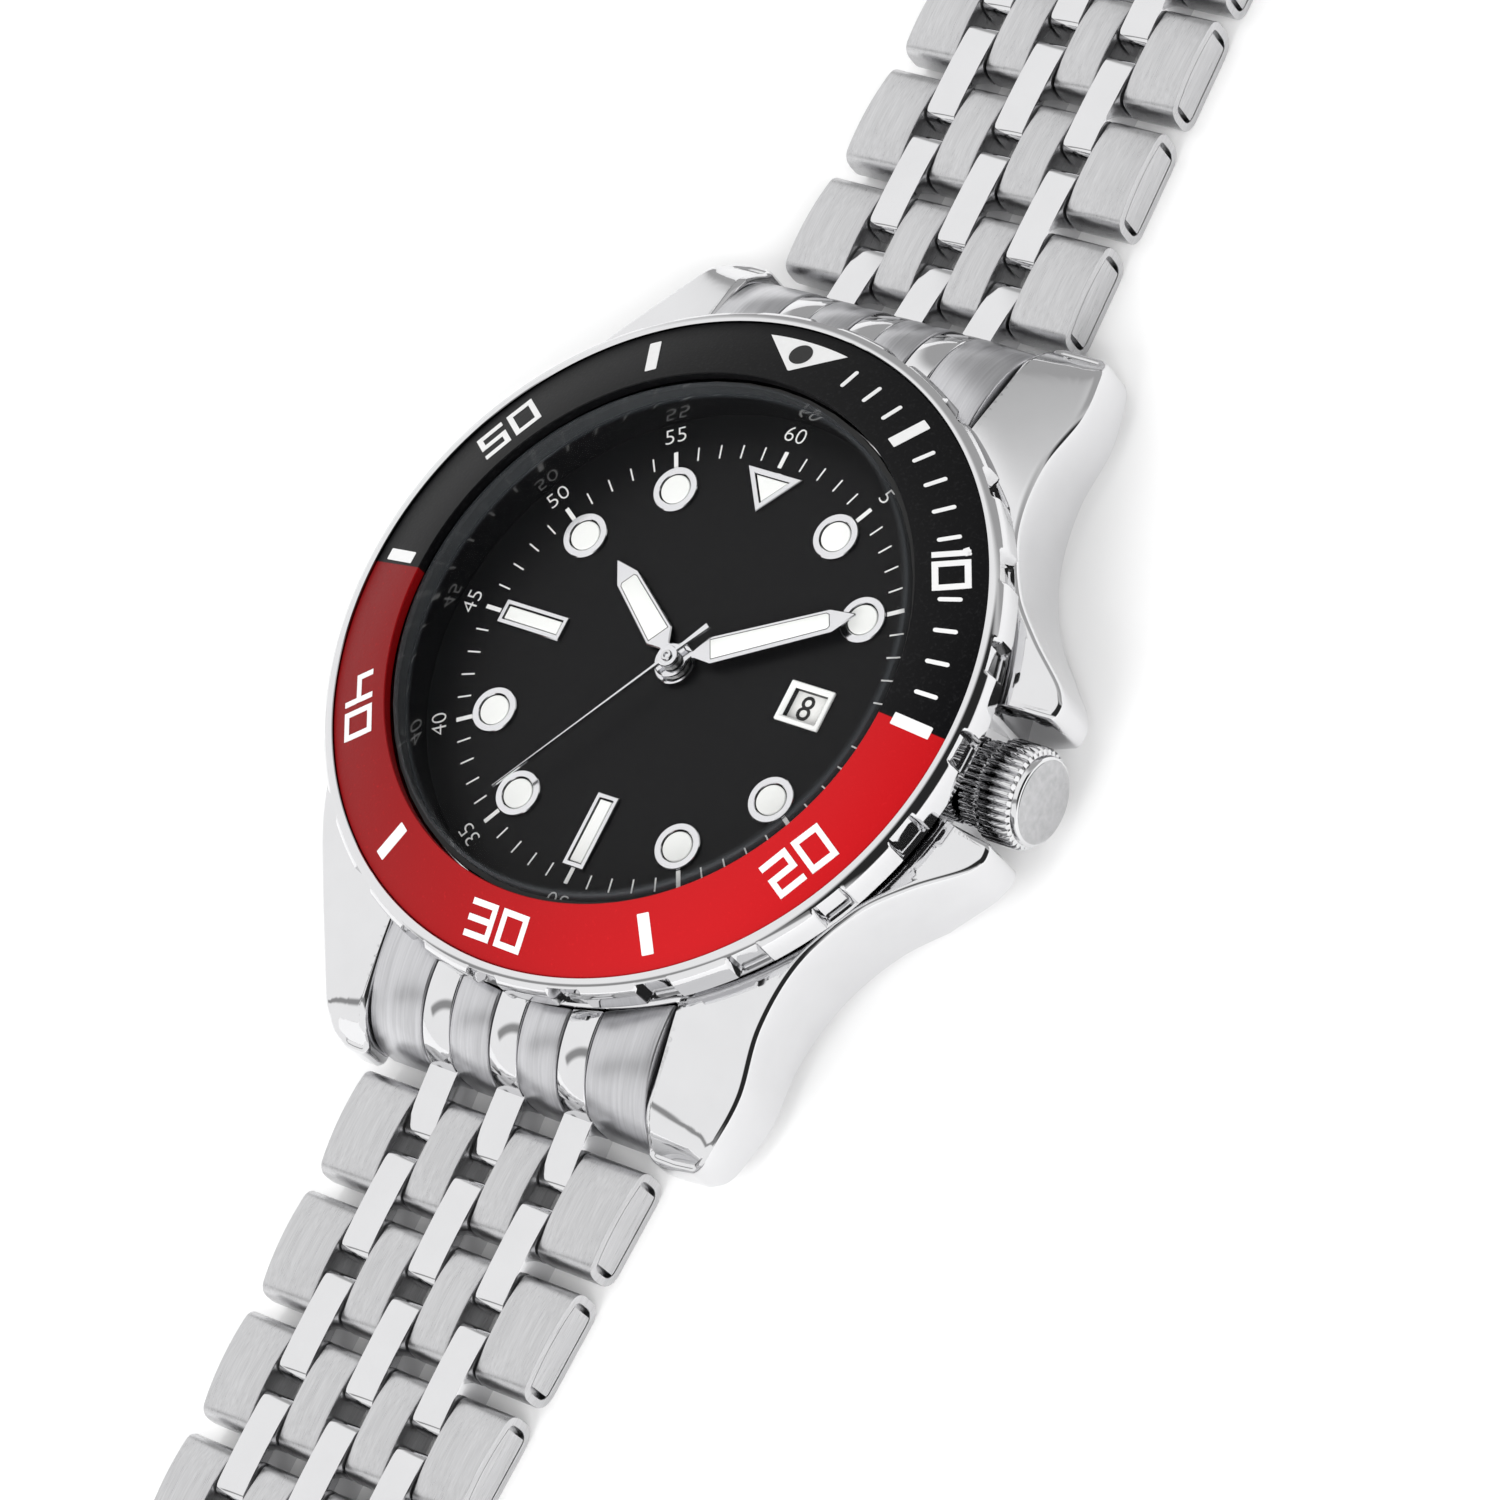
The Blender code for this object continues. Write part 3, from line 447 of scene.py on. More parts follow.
def look(name):
    """The material of a finish, made the first time it is asked for."""
    if name not in LOOKS:
        makers = {
            "polished_steel": polished_steel,
            "hand_steel": lambda: polished_steel("hand_steel", (0.8, 0.8, 0.82), 0.1),
            "brushed_link": lambda: brushed_steel("brushed_steel_links"),
            "brushed_end": lambda: brushed_steel(
                "brushed_steel_ends", (7500.0, 260.0, 260.0), (0.68, 0.68, 0.7), 0.22, 0.6
            ),
            "brushed_cross": lambda: brushed_steel(
                "brushed_steel_across", (200.0, 9000.0, 9000.0), (0.72, 0.72, 0.73), 0.25, 0.5
            ),
            "turned_steel": lambda: turned_steel("turned_steel"),
            "spring_steel": lambda: brushed_steel(
                "spring_steel_strip", (400.0, 6000.0, 400.0), (0.5, 0.51, 0.53), 0.3, 0.4
            ),
            "brass": lambda: plain_paint("wheel_brass_plate", (0.72, 0.52, 0.2), 0.26, 3000.0, 0.1, 1.0, 0.0, 0.1),
            "copper": lambda: plain_paint("coil_copper_wire", (0.7, 0.3, 0.14), 0.32, 3000.0, 0.12, 1.0, 0.0, 0.3),
            "nickel": lambda: plain_paint(
                "movement_nickel_plate", (0.56, 0.56, 0.55), 0.3, 1500.0, 0.08, 1.0, 0.0, 0.2
            ),
            "insert": insert_look,
            "print_white": lambda: plain_paint("print_white", (0.85, 0.85, 0.84), 0.42, 3000.0, 0.04),
            "print_silver": lambda: plain_paint("print_silver", (0.78, 0.78, 0.78), 0.36, 3000.0, 0.05, 0.15),
            "dial_black": lambda: plain_paint(
                "dial_black", (0.0045, 0.0045, 0.005), 0.34, 2600.0, 0.2, 0.0, 0.0, 0.05, 0.15
            ),
            "rehaut_black": lambda: plain_paint(
                "rehaut_black", (0.004, 0.004, 0.0045), 0.05, 900.0, 0.2, 0.0, 0.0, 0.0, 1.0
            ),
            "print_black": lambda: plain_paint("print_black", (0.012, 0.012, 0.012), 0.5),
            "date_white": lambda: plain_paint("date_disc_white", (0.86, 0.86, 0.84), 0.5),
            "nylon": lambda: plain_paint("gasket_nylon_ring", (0.7, 0.7, 0.68), 0.45),
            "rubber": lambda: plain_paint(
                "gasket_rubber_ring", (0.02, 0.02, 0.02), 0.65, 1800.0, 0.2, 0.0, 0.0, 0.4
            ),
            "plastic": lambda: plain_paint(
                "holder_plastic_moulding", (0.26, 0.26, 0.27), 0.45, 1500.0, 0.08, 0.0, 0.0, 0.3
            ),
            "glass": crystal_look,
            "lume": lume_look,
            # Painted shade: pins and lug spring bars get near-black steel so the gaps between links read dark, as
            # shade.
            "pin_painted_shade": lambda: plain_paint(
                "pin_steel_painted_shade", (0.07, 0.07, 0.072), 0.4, 2500.0, 0.1, 1.0, 0.0, 0.1
            ),
            "cap_steel": lambda: brushed_steel(
                "crown_cap_satin", (2500.0, 2500.0, 2500.0), (0.56, 0.56, 0.57), 0.12, 0.15
            ),
            # Painted shade: black sheet laid in the groove round each hand's lume, where only shade falls.
            "seam_painted_shade": lambda: plain_paint("seam_shadow", (0.01, 0.01, 0.01), 0.6),
        }
        LOOKS[name] = makers[name]()
    return LOOKS[name]


def dress(node, finish):
    """Gives a CAD node a finished material."""
    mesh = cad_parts[node].data
    mesh.materials.clear()
    mesh.materials.append(look(finish))


# ---------------------------------------------------------------- case


def case_height(x, y):
    """The case's upper surface: a shallow cone about the dial, falling as a quarter ellipse over the lugs; the
    lower of the two."""
    r = np.hypot(x, y)
    cone = 7.4 - 0.31 * np.clip(r - 20.5, 0, None)
    along = np.clip((np.abs(y) - 19.0) / 7.22, 0, 0.99)
    fall = 0.9 + 6.5 * np.sqrt(1 - along**2)
    return -np.log(np.exp(-cone * 7) + np.exp(-fall * 7)) / 7


def case_outline():
    """The plan outline, anticlockwise: waisted right side with two crown guards, plain left side, four lugs and
    two slots."""
    sweep = smooth_line(
        [
            (23.4, 4.9), (22.6, 6.0), (20.2, 8.0), (17.9, 10.4), (16.1, 13.8), (15.3, 17.8), (15.5, 21.5),
            (15.0, 24.2), (14.5, 25.4), (13.6, 26.0)
        ],
        10
    )
    slot_half, seat = SLOT_HALF, SLOT_RADIUS
    corner = math.acos(slot_half / seat)
    arc = np.linspace(corner, math.pi - corner, 61)
    top = [(12.0, 26.12), (10.55, 26.12), (slot_half, 25.8)]
    slot_wall = resample([(slot_half, 25.8), (slot_half, seat * math.sin(corner))], 0.5)[1:-1]
    slot_arc = np.stack([seat * np.cos(arc), seat * np.sin(arc)], 1)
    left_wall = (slot_wall * [-1, 1])[::-1]
    left_top = [(-slot_half, 25.8), (-10.5, 26.12), (-11.4, 26.12)]
    left = smooth_line(
        [
            (-11.9, 26.08), (-12.7, 25.5), (-13.2, 24.4), (-14.7, 21.6), (-16.6, 18.2), (-18.6, 14.5),
            (-19.9, 10.5), (-20.7, 5.0), (-20.9, 0.0)
        ],
        10
    )
    guard = smooth_line(
        [(19.2, 3.3), (19.3, 3.48), (20.2, 3.55), (22.6, 3.8), (23.15, 3.9), (23.38, 4.25), (23.4, 4.9)], 6
    )
    upper = np.vstack(
        [
            [(19.2, 0.0), (19.2, 1.0), (19.2, 2.0), (19.2, 2.8)], guard[:-1], sweep, top, slot_wall, slot_arc,
            left_wall, left_top, left
        ]
    )
    lower = upper[::-1][1:-1] * [1, -1]
    return resample(np.vstack([upper, lower, upper[:1]]), 0.22)[:-1]


def seat_points(outline, radius):
    """The point of a circle that each outline point runs in to: along its own radius, but no nearer to 12 or 6
    o'clock than the slot's side wall wherever the point stands on a lug, so no row crosses a slot."""
    x, y = outline[:, 0], outline[:, 1]
    angle = np.arctan2(np.abs(y), np.abs(x))
    angle = np.where(np.abs(x) >= SLOT_HALF - 0.01, np.minimum(angle, math.acos(SLOT_HALF / radius)), angle)
    return radius * np.column_stack([np.sign(x) * np.cos(angle), np.sign(y) * np.sin(angle)])


def case_shell(outline):
    """Carries a wall profile round the outline: underside, a small lower round, the wall, a small upper round,
    then the top surface in rows from the outline to the bezel seat, each row at the height of the case's upper
    surface."""
    shell = Shell()
    x, y = outline[:, 0], outline[:, 1]
    bottom = CASE_FLOOR + 1.5 * np.clip((x - 20.2) / 3.2, 0, 1) * (np.abs(y) < 9)
    edge = 0.42
    inner_edge = inset(outline, edge)
    top = case_height(inner_edge[:, 0], inner_edge[:, 1])
    rings = []
    seat, back = seat_points(outline, SEAT_RADIUS), seat_points(outline, BACK_RADIUS)
    rings.append(np.column_stack([back, np.full(len(x), CASE_FLOOR)]))
    rings.append(np.column_stack([inset(outline, 0.5), bottom]))
    for a in np.radians([0, 30, 60, 90]):
        rings.append(np.column_stack([inset(outline, 0.2 * (1 - math.sin(a))), bottom + 0.2 * (1 - math.cos(a))]))
    for s in (0.25, 0.5, 0.75):
        rings.append(np.column_stack([outline, bottom + 0.2 + (top - edge - bottom - 0.2) * s]))
    for a in np.radians([0, 15, 30, 45, 60, 75, 90]):
        rings.append(np.column_stack([inset(outline, edge * (1 - math.cos(a))), top - edge * (1 - math.sin(a))]))
    for s in np.linspace(0, 1, 18)[1:]:
        p = inner_edge * (1 - s) + seat * s
        z = case_height(p[:, 0], p[:, 1])
        rings.append(np.column_stack([p, z]))
    rings.append(np.column_stack([seat, np.full(len(x), 6.6)]))
    shell.grid(np.stack(rings), wrap_u=True, wrap_v=True, flip=True)
    return shell


class WATCH_OT_case(bpy.types.Operator):
    """The polished case middle with its lugs and crown guards"""

    bl_idname = "watch.case"
    bl_label = "Case"

    def execute(self, context):
        shell = case_shell(case_outline())
        neck = spin(
            [
                (BACK_RADIUS, CASE_FLOOR), (16.9, CASE_FLOOR), (16.9, 6.6), (16.36, 7.0), (16.36, 10.3),
                (16.9, 10.3), (16.95, 7.45), (SEAT_RADIUS, 7.4), (SEAT_RADIUS, 6.5)
            ],
            240
        )
        shell.grid(neck, wrap_u=True, wrap_v=True, flip=True)
        shell.piece("case_body", look("polished_steel"), "case", "polished_steel", ("case_middle",), 28)
        dress("case_back", "turned_steel")
        for node, finish in (
            ("case_back_gasket", "rubber"), ("crystal_gasket", "rubber"), ("crown_tube", "polished_steel"),
            ("bezel_click_spring", "spring_steel")
        ):
            dress(node, finish)
        return {"FINISHED"}


class WATCH_OT_end_links(bpy.types.Operator):
    """The end links between the lugs: four brushed bands and three polished bands with fine grooves between"""

    bl_idname = "watch.end_links"
    bl_label = "End links"

    def execute(self, context):
        step = context.scene.watch_bracelet.polished_width + context.scene.watch_bracelet.inner_width + ROW_GAP
        half = context.scene.watch_bracelet.polished_width / 2
        edges = [-10.02, -step - half, -step + half, -half, half, step - half, step + half, 10.02]
        for hour, sign in ((12, 1), (6, -1)):
            shell = Shell()
            for k, (x0, x1) in enumerate(zip(edges, edges[1:])):
                shell_band(shell, x0 + 0.04, x1 - 0.04, sign, k % 2, 0.0 if k % 2 else 0.05)
            shell.piece(
                f"end_piece_{hour}", None, "case", "brushed_steel", (f"end_link_{hour}",), 40,
                [look("brushed_end"), look("polished_steel")],
            )
        # Painted shade: the spring bars take the near-black pin steel so the gap behind each end link reads dark.
        for hour in (12, 6):
            dress(f"lug_spring_bar_{hour}", "pin_painted_shade")
        return {"FINISHED"}


def shell_band(shell, x0, x1, sign, slot, lift):
    """One band of an end link: a section ring at each step of u, from the bezel seat out and down to its lower
    edge. Its top runs along y = 20 + 5.42 sin a, z = 2.3 + 4.8 cos a, and its side edges are taken down by 0.14
    to leave a groove."""
    x_ring = np.array([x0, x0, x0 + 0.03, x0 + 0.1, (x0 + x1) / 2, x1 - 0.1, x1 - 0.03, x1, x1])
    drop = np.array([9.0, 0.14, 0.05, 0.0, 0.0, 0.0, 0.05, 0.14, 9.0])
    start = np.sqrt(np.clip(20.85**2 - x_ring**2, 0, None))
    rings = []
    for u in np.linspace(0, 1, 30):
        a = np.arcsin(np.clip((start - 20.0) / 5.42, 0, 1)) * (1 - u) + (math.pi / 2) * u
        flat = np.clip(20.0 - start, 0, None) * (1 - u) ** 1.5
        y = 20.0 + 5.42 * np.sin(a) - flat
        z = 2.3 + 4.8 * np.cos(a) + lift * math.sin(math.pi * u) ** 0.3
        outward = np.minimum(drop, 0.14)
        low = 1.0 + 3.4 * (u < 0.3)
        rings.append(
            np.column_stack(
                [
                    x_ring, sign * (y - outward * math.sin(u * math.pi / 2)),
                    np.where(drop > 1, low, z - outward * math.cos(u * math.pi / 2))
                ]
            )
        )
    foot = rings[-1].copy()
    foot[:, 2] = np.where(drop > 1, 1.0, 1.05)
    rings.append(foot)
    shell.stack(rings, slot, True, flip=sign < 0)


# ---------------------------------------------------------------- bezel


def insert_top(radius):
    """Height of the insert's cone, which falls by 1.2 from its inner edge to its outer edge."""
    return 11.8 - 1.2 * (radius - 16.45) / 3.9


def notch_depth(theta, weight, count):
    """How far the grip is cut in: 0.62 times the weight inside a notch at every 1/count turn, with
    cosine-sloped sides."""
    place = np.abs((theta * count / TURN + 0.5) % 1 - 0.5)
    return weight * 0.62 * (0.5 - 0.5 * np.cos(math.pi * np.clip((0.2 - place) / 0.07, 0, 1)))


class WATCH_OT_bezel(bpy.types.Operator):
    """The rotating bezel with its grip notches, coloured insert and raised marks"""

    bl_idname = "watch.bezel"
    bl_label = "Bezel"

    def execute(self, context):
        settings = context.scene.watch_bezel
        count = settings.notches
        t = np.linspace(0, TURN, 1200, endpoint=False)[:, None]
        # (radius, height, share of the notch's depth): underside, grip, rounded chamfer, seat of the insert
        profile = np.array([
            (17.05, 7.78, 0), (20.55, 7.78, 0), (20.75, 7.84, 0), (20.8, 8.0, 0), (20.8, 8.3, 0), (20.95, 8.38, 0),
            (21.1, 8.42, 1), (21.28, 8.6, 1), (21.3, 8.8, 1), (21.3, 9.5, 1), (21.29, 9.95, 1), (21.22, 10.2, 1),
            (21.1, 10.38, 0.5), (21.0, 10.48, 0.0), (20.88, 10.56, 0), (20.7, 10.64, 0), (20.52, 10.7, 0),
            (20.45, 10.7, 0), (20.41, 10.66, 0), (20.4, 10.4, 0), (20.4, 9.85, 0), (17.05, 10.85, 0),
        ])
        r = profile[None, :, 0] - notch_depth(t - math.radians(settings.turn), profile[None, :, 2], count)
        z = profile[None, :, 1] + 0 * t
        shell = Shell()
        shell.grid(np.stack([r * np.cos(t), r * np.sin(t), z], -1), wrap_u=True, wrap_v=True, flip=False)
        shell.piece("bezel_grip_ring", look("polished_steel"), "bezel", "polished_steel", ("bezel_ring",), 32)
        ring = Shell()
        ring.grid(
            spin([(16.45, 11.1), (20.35, 9.92), (20.35, 10.55), (20.3, 10.6), (16.5, 11.8), (16.45, 11.75)], 360),
            wrap_u=True, wrap_v=True
        )
        ring.piece("bezel_insert_ring", look("insert"), "bezel", "insert_anodising", ("bezel_insert",), 30)
        marks = Shell()
        twist = math.radians(settings.turn)
        for minute in range(60):
            angle = math.radians(90 - 6 * minute) + twist
            if minute in (5, 15, 25, 35, 45, 55):
                cone_mark(marks, rounded_rectangle(1.11, 0.36, 0.05, 3), angle, MARK_RADIUS)
            elif 1 < minute < 15 and minute != 10:
                cone_mark(marks, rounded_rectangle(0.66, 0.125, 0.12, 4), angle, MARK_RADIUS)
        side = np.linspace(-1, 1, 13)
        arc = np.stack([19.55 * np.cos(side * 0.1405) - MARK_RADIUS, 19.55 * np.sin(side * 0.1405)], 1)
        cone_mark(marks, np.vstack([arc, [(-1.06, 0.06), (-1.06, -0.06)]]), math.radians(90) + twist, MARK_RADIUS)
        for value, upright in ((10, True), (20, False), (30, False), (40, False), (50, True)):
            angle = math.radians(90 - 6 * value) + twist
            for outline in bezel_number(value):
                turn = outline if upright else -outline
                cone_mark(marks, np.stack([turn[:, 1], -turn[:, 0]], 1), angle, MARK_RADIUS)
        marks.piece("bezel_marks", look("print_silver"), "bezel", "insert_anodising", (), 30)
        pip = Shell()
        cone_mark(pip, rounded_rectangle(0.7, 0.7, 0.7, 9), math.radians(90) + twist, 18.6, 0.05)
        pip.piece("bezel_pip", look("print_black"), "bezel", "insert_anodising", (), 30)
        dress("bezel_click_spring", "spring_steel")
        return {"FINISHED"}


def stroke(points, width):
    """Rectangles along a line of points, each overlapping the next by half its width."""
    out = []
    for (x0, y0), (x1, y1) in zip(points, points[1:]):
        d = np.array([x1 - x0, y1 - y0], float)
        length = np.linalg.norm(d)
        d /= length
        n = np.array([-d[1], d[0]]) * width / 2
        a, b = np.array([x0, y0]) - d * width / 2, np.array([x1, y1]) + d * width / 2
        out.append(np.array([a - n, b - n, b + n, a + n]))
    return out


def bezel_number(value):
    """Squared numerals, as rectangles about the number's middle, each digit a line of strokes; the narrow 10
    sits closer and to one side."""
    h, w, t = 0.87, 0.735, 0.35
    shapes = {
        "0": [[(-w, -h), (w, -h), (w, h), (-w, h), (-w, -h)]],
        "1": [[(0.0, -h), (0.0, h), (-0.12, h - 0.04)]],
        "2": [[(-w, h), (w, h), (w, 0), (-w, 0), (-w, -h), (w, -h)]],
        "3": [[(-w, h), (w, h), (w, -h), (-w, -h)], [(-w, 0), (w, 0)]],
        "4": [[(-w, h), (-w, 0), (w, 0)], [(w, h), (w, -h)]],
        "5": [[(w, h), (-w, h), (-w, 0), (w, 0), (w, -h), (-w, -h)]],
    }
    out = []
    for digit, shift in zip(str(value), (-0.92, 0.42) if value == 10 else (-1.1, 1.1)):
        for line in shapes[digit]:
            out += stroke([(x + shift, y) for x, y in line], t)
    return out


def cone_mark(shell, outline, angle, radius, lift=0.03):
    """Lays an outline of (outward, anticlockwise) offsets on the insert's cone at an angle and radius, as a
    thin plate."""
    outline = np.asarray(outline, float)
    r = radius + outline[:, 0]
    t = outline[:, 1]
    x = r * math.cos(angle) - t * math.sin(angle)
    y = r * math.sin(angle) + t * math.cos(angle)
    z = insert_top(np.hypot(x, y))
    low, high = np.column_stack([x, y, z - 0.05]), np.column_stack([x, y, z + lift])
    area = 0.5 * np.sum(x * np.roll(y, -1) - np.roll(x, -1) * y)
    shell.stack([low, high], 0, True, flip=area < 0)


# ---------------------------------------------------------------- dial


def text_outline_mesh(body, size, name, thinning=0.0):
    """Turns a number into a thin closed mesh and returns its points and faces, centred on its middle."""
    curve = bpy.data.curves.new(name, "FONT")
    curve.body, curve.size, curve.align_x, curve.align_y = body, size, "CENTER", "CENTER"
    curve.resolution_u = 3
    curve.extrude, curve.offset = 0.012, -thinning
    holder = bpy.data.objects.new(name, curve)
    bpy.context.scene.collection.objects.link(holder)
    bpy.context.view_layer.update()
    mesh = bpy.data.meshes.new_from_object(holder)
    verts = np.array([v.co[:] for v in mesh.vertices])
    faces = [tuple(p.vertices) for p in mesh.polygons]
    bpy.data.objects.remove(holder, do_unlink=True)
    bpy.data.curves.remove(curve)
    bpy.data.meshes.remove(mesh)
    verts[:, :2] -= (verts[:, :2].min(0) + verts[:, :2].max(0)) / 2
    return verts, faces


class WATCH_OT_dial(bpy.types.Operator):
    """The black dial with its minute track, numbers, date window and raised hour markers"""

    bl_idname = "watch.dial"
    bl_label = "Dial"

    def execute(self, context):
        settings = context.scene.watch_dial
        top = DIAL_TOP
        plate = Shell()
        plate_grid = []
        centre = np.array([9.1, 0.0])
        ring_angle = np.linspace(0, TURN, 240, endpoint=False)
        rim = np.stack([16.25 * np.cos(ring_angle), 16.25 * np.sin(ring_angle)], 1)
        toward = rim - centre
        toward /= np.linalg.norm(toward, axis=1, keepdims=True)
        reach = np.minimum(1.14 / (np.abs(toward[:, 0]) + 1e-9), 0.88 / (np.abs(toward[:, 1]) + 1e-9))
        edge = centre + toward * reach[:, None]
        for s in (0.0, 0.02, 0.1, 0.3, 0.6, 1.0):
            plate_grid.append(np.column_stack([edge * (1 - s) + rim * s, np.full(240, top)]))
        plate_grid.append(np.column_stack([rim, np.full(240, top - 0.4)]))
        plate_grid.append(np.column_stack([edge, np.full(240, top - 0.4)]))
        plate.grid(np.stack(plate_grid), wrap_u=True, wrap_v=True)
        plate.piece("dial_plate", look("dial_black"), "case", "black_lacquer", ("dial",), 30)

        prints = Shell()
        for minute in range(60):
            a = math.radians(90 - 6 * minute)
            if minute == 15:
                continue
            thick, inner = (0.13, 12.95) if minute % 5 == 0 else (0.045, 13.15)
            bar = np.array([(inner, -thick), (14.0, -thick), (14.0, thick), (inner, thick)])
            flat = turned(bar, a)
            prints.stack(raise_outline(flat, [(0, top - 0.02), (0, top + 0.018)]))
        for minute in range(5, 65, 5):
            a = math.radians(90 - 6 * minute)
            verts, faces = text_outline_mesh(str(minute), 1.4, f"minute_{minute}", 0.022)
            verts[:, 0] *= 1.1
            placed = turned(verts, a - math.pi / 2, (15.12 * math.cos(a), 15.12 * math.sin(a), top + 0.016))
            prints.add(placed, faces)
        prints.piece("dial_print", look("print_white"), "case", "black_lacquer", (), 30)

        frames, lume = Shell(), Shell()
        for outline, border in marker_outlines(settings):
            frames.grid(
                raise_outline(
                    outline,
                    [
                        (0.0, top - 0.05), (0.0, top + 0.13), (0.05, top + 0.18), (border - 0.04, top + 0.18),
                        (border, top + 0.14), (border, top - 0.05)
                    ]
                ),
                wrap_u=True, wrap_v=True
            )
            lume.stack(
                raise_outline(
                    outline, [(border + 0.07, top), (border + 0.07, top + 0.12), (border + 0.11, top + 0.16)]
                )
            )
        frames.piece("marker_frames", look("hand_steel"), "case", "polished_steel", (), 30)
        lume.piece("marker_lume", look("lume"), "case", "date_white", (), 30)
        window_frame = Shell()
        outer = rectangle(1.5, 1.24, 0.06, (9.1, 0))
        window_frame.grid(
            raise_outline(
                outer,
                [
                    (0, top - 0.02), (0, top + 0.13), (0.05, top + 0.18), (0.24, top + 0.18), (0.36, top + 0.05),
                    (0.36, top - 0.02)
                ]
            ),
            wrap_u=True, wrap_v=True
        )
        window_frame.piece("date_frame", look("lume"), "case", "date_white", (), 30)

        disc = Shell()
        low, high = 7.0, 7.26
        disc.grid(spin([(7.7, low), (12.38, low), (12.38, high), (7.7, high)], 180), wrap_u=True, wrap_v=True)
        disc.piece("date_disc", look("date_white"), "date", "date_white", ("date_ring",), 30)
        days = Shell()
        for day in range(1, 32):
            a = -TURN * (day - 8) / 31
            verts, faces = text_outline_mesh(str(day), 2.15 if day < 10 else 1.7, f"day_{day}")
            verts[:, 0] *= 0.95 if day < 10 else 0.82
            days.add(turned(verts, a, (8.9 * math.cos(a), 8.9 * math.sin(a), high + 0.02)), faces)
        days.piece("date_numbers", look("print_black"), "date", "date_white", (), 30)

        wall = Shell()
        wall.grid(
            spin([(16.28, top + 0.01), (15.93, top + 0.01), (15.96, 9.9), (15.99, 10.08), (16.28, 10.08)], 320),
            wrap_u=True, wrap_v=True, flip=True
        )
        wall.piece("rehaut_wall", look("rehaut_black"), "case", "black_lacquer", ("rehaut_ring",), 30)
        return {"FINISHED"}


def marker_outlines(settings):
    """Closed outlines of the raised hour markers with the width of each one's steel border."""
    triangle = np.array([(0.0, 10.0), (1.95, 12.6), (-1.95, 12.6)])
    bar_6 = rectangle(0.76, 2.3, 0.04, (0, -10.7))
    bar_9 = rectangle(2.28, 0.76, 0.04, (-10.48, 0))
    out = [(triangle, 0.36), (bar_6, 0.3), (bar_9, 0.3)]
    for hour in (1, 2, 4, 5, 7, 8, 10, 11):
        a = math.radians(90 - 30 * hour)
        t = np.linspace(0, TURN, 40, endpoint=False)
        radius = settings.marker_diameter / 2
        out.append(
            (np.stack([radius * np.cos(t) + 11.5 * math.cos(a), radius * np.sin(t) + 11.5 * math.sin(a)], 1), 0.44)
        )
    return out


# ---------------------------------------------------------------- hands


def sword_outline(reach, half_width, neck, boss):
    """A sword hand along +Y: round boss, short neck, a blade that narrows a little and a pointed tip."""
    a = np.radians(np.linspace(112, 428, 30))
    hub = np.stack([boss * np.cos(a), boss * np.sin(a)], 1)
    right = [
        (0.2, boss + 0.25), (0.24, neck), (half_width, neck + 0.95), (half_width * 0.86, reach - 1.5), (0.06, reach)
    ]
    left = [(-x, y) for x, y in reversed(right)]
    return np.vstack([hub, right, left])


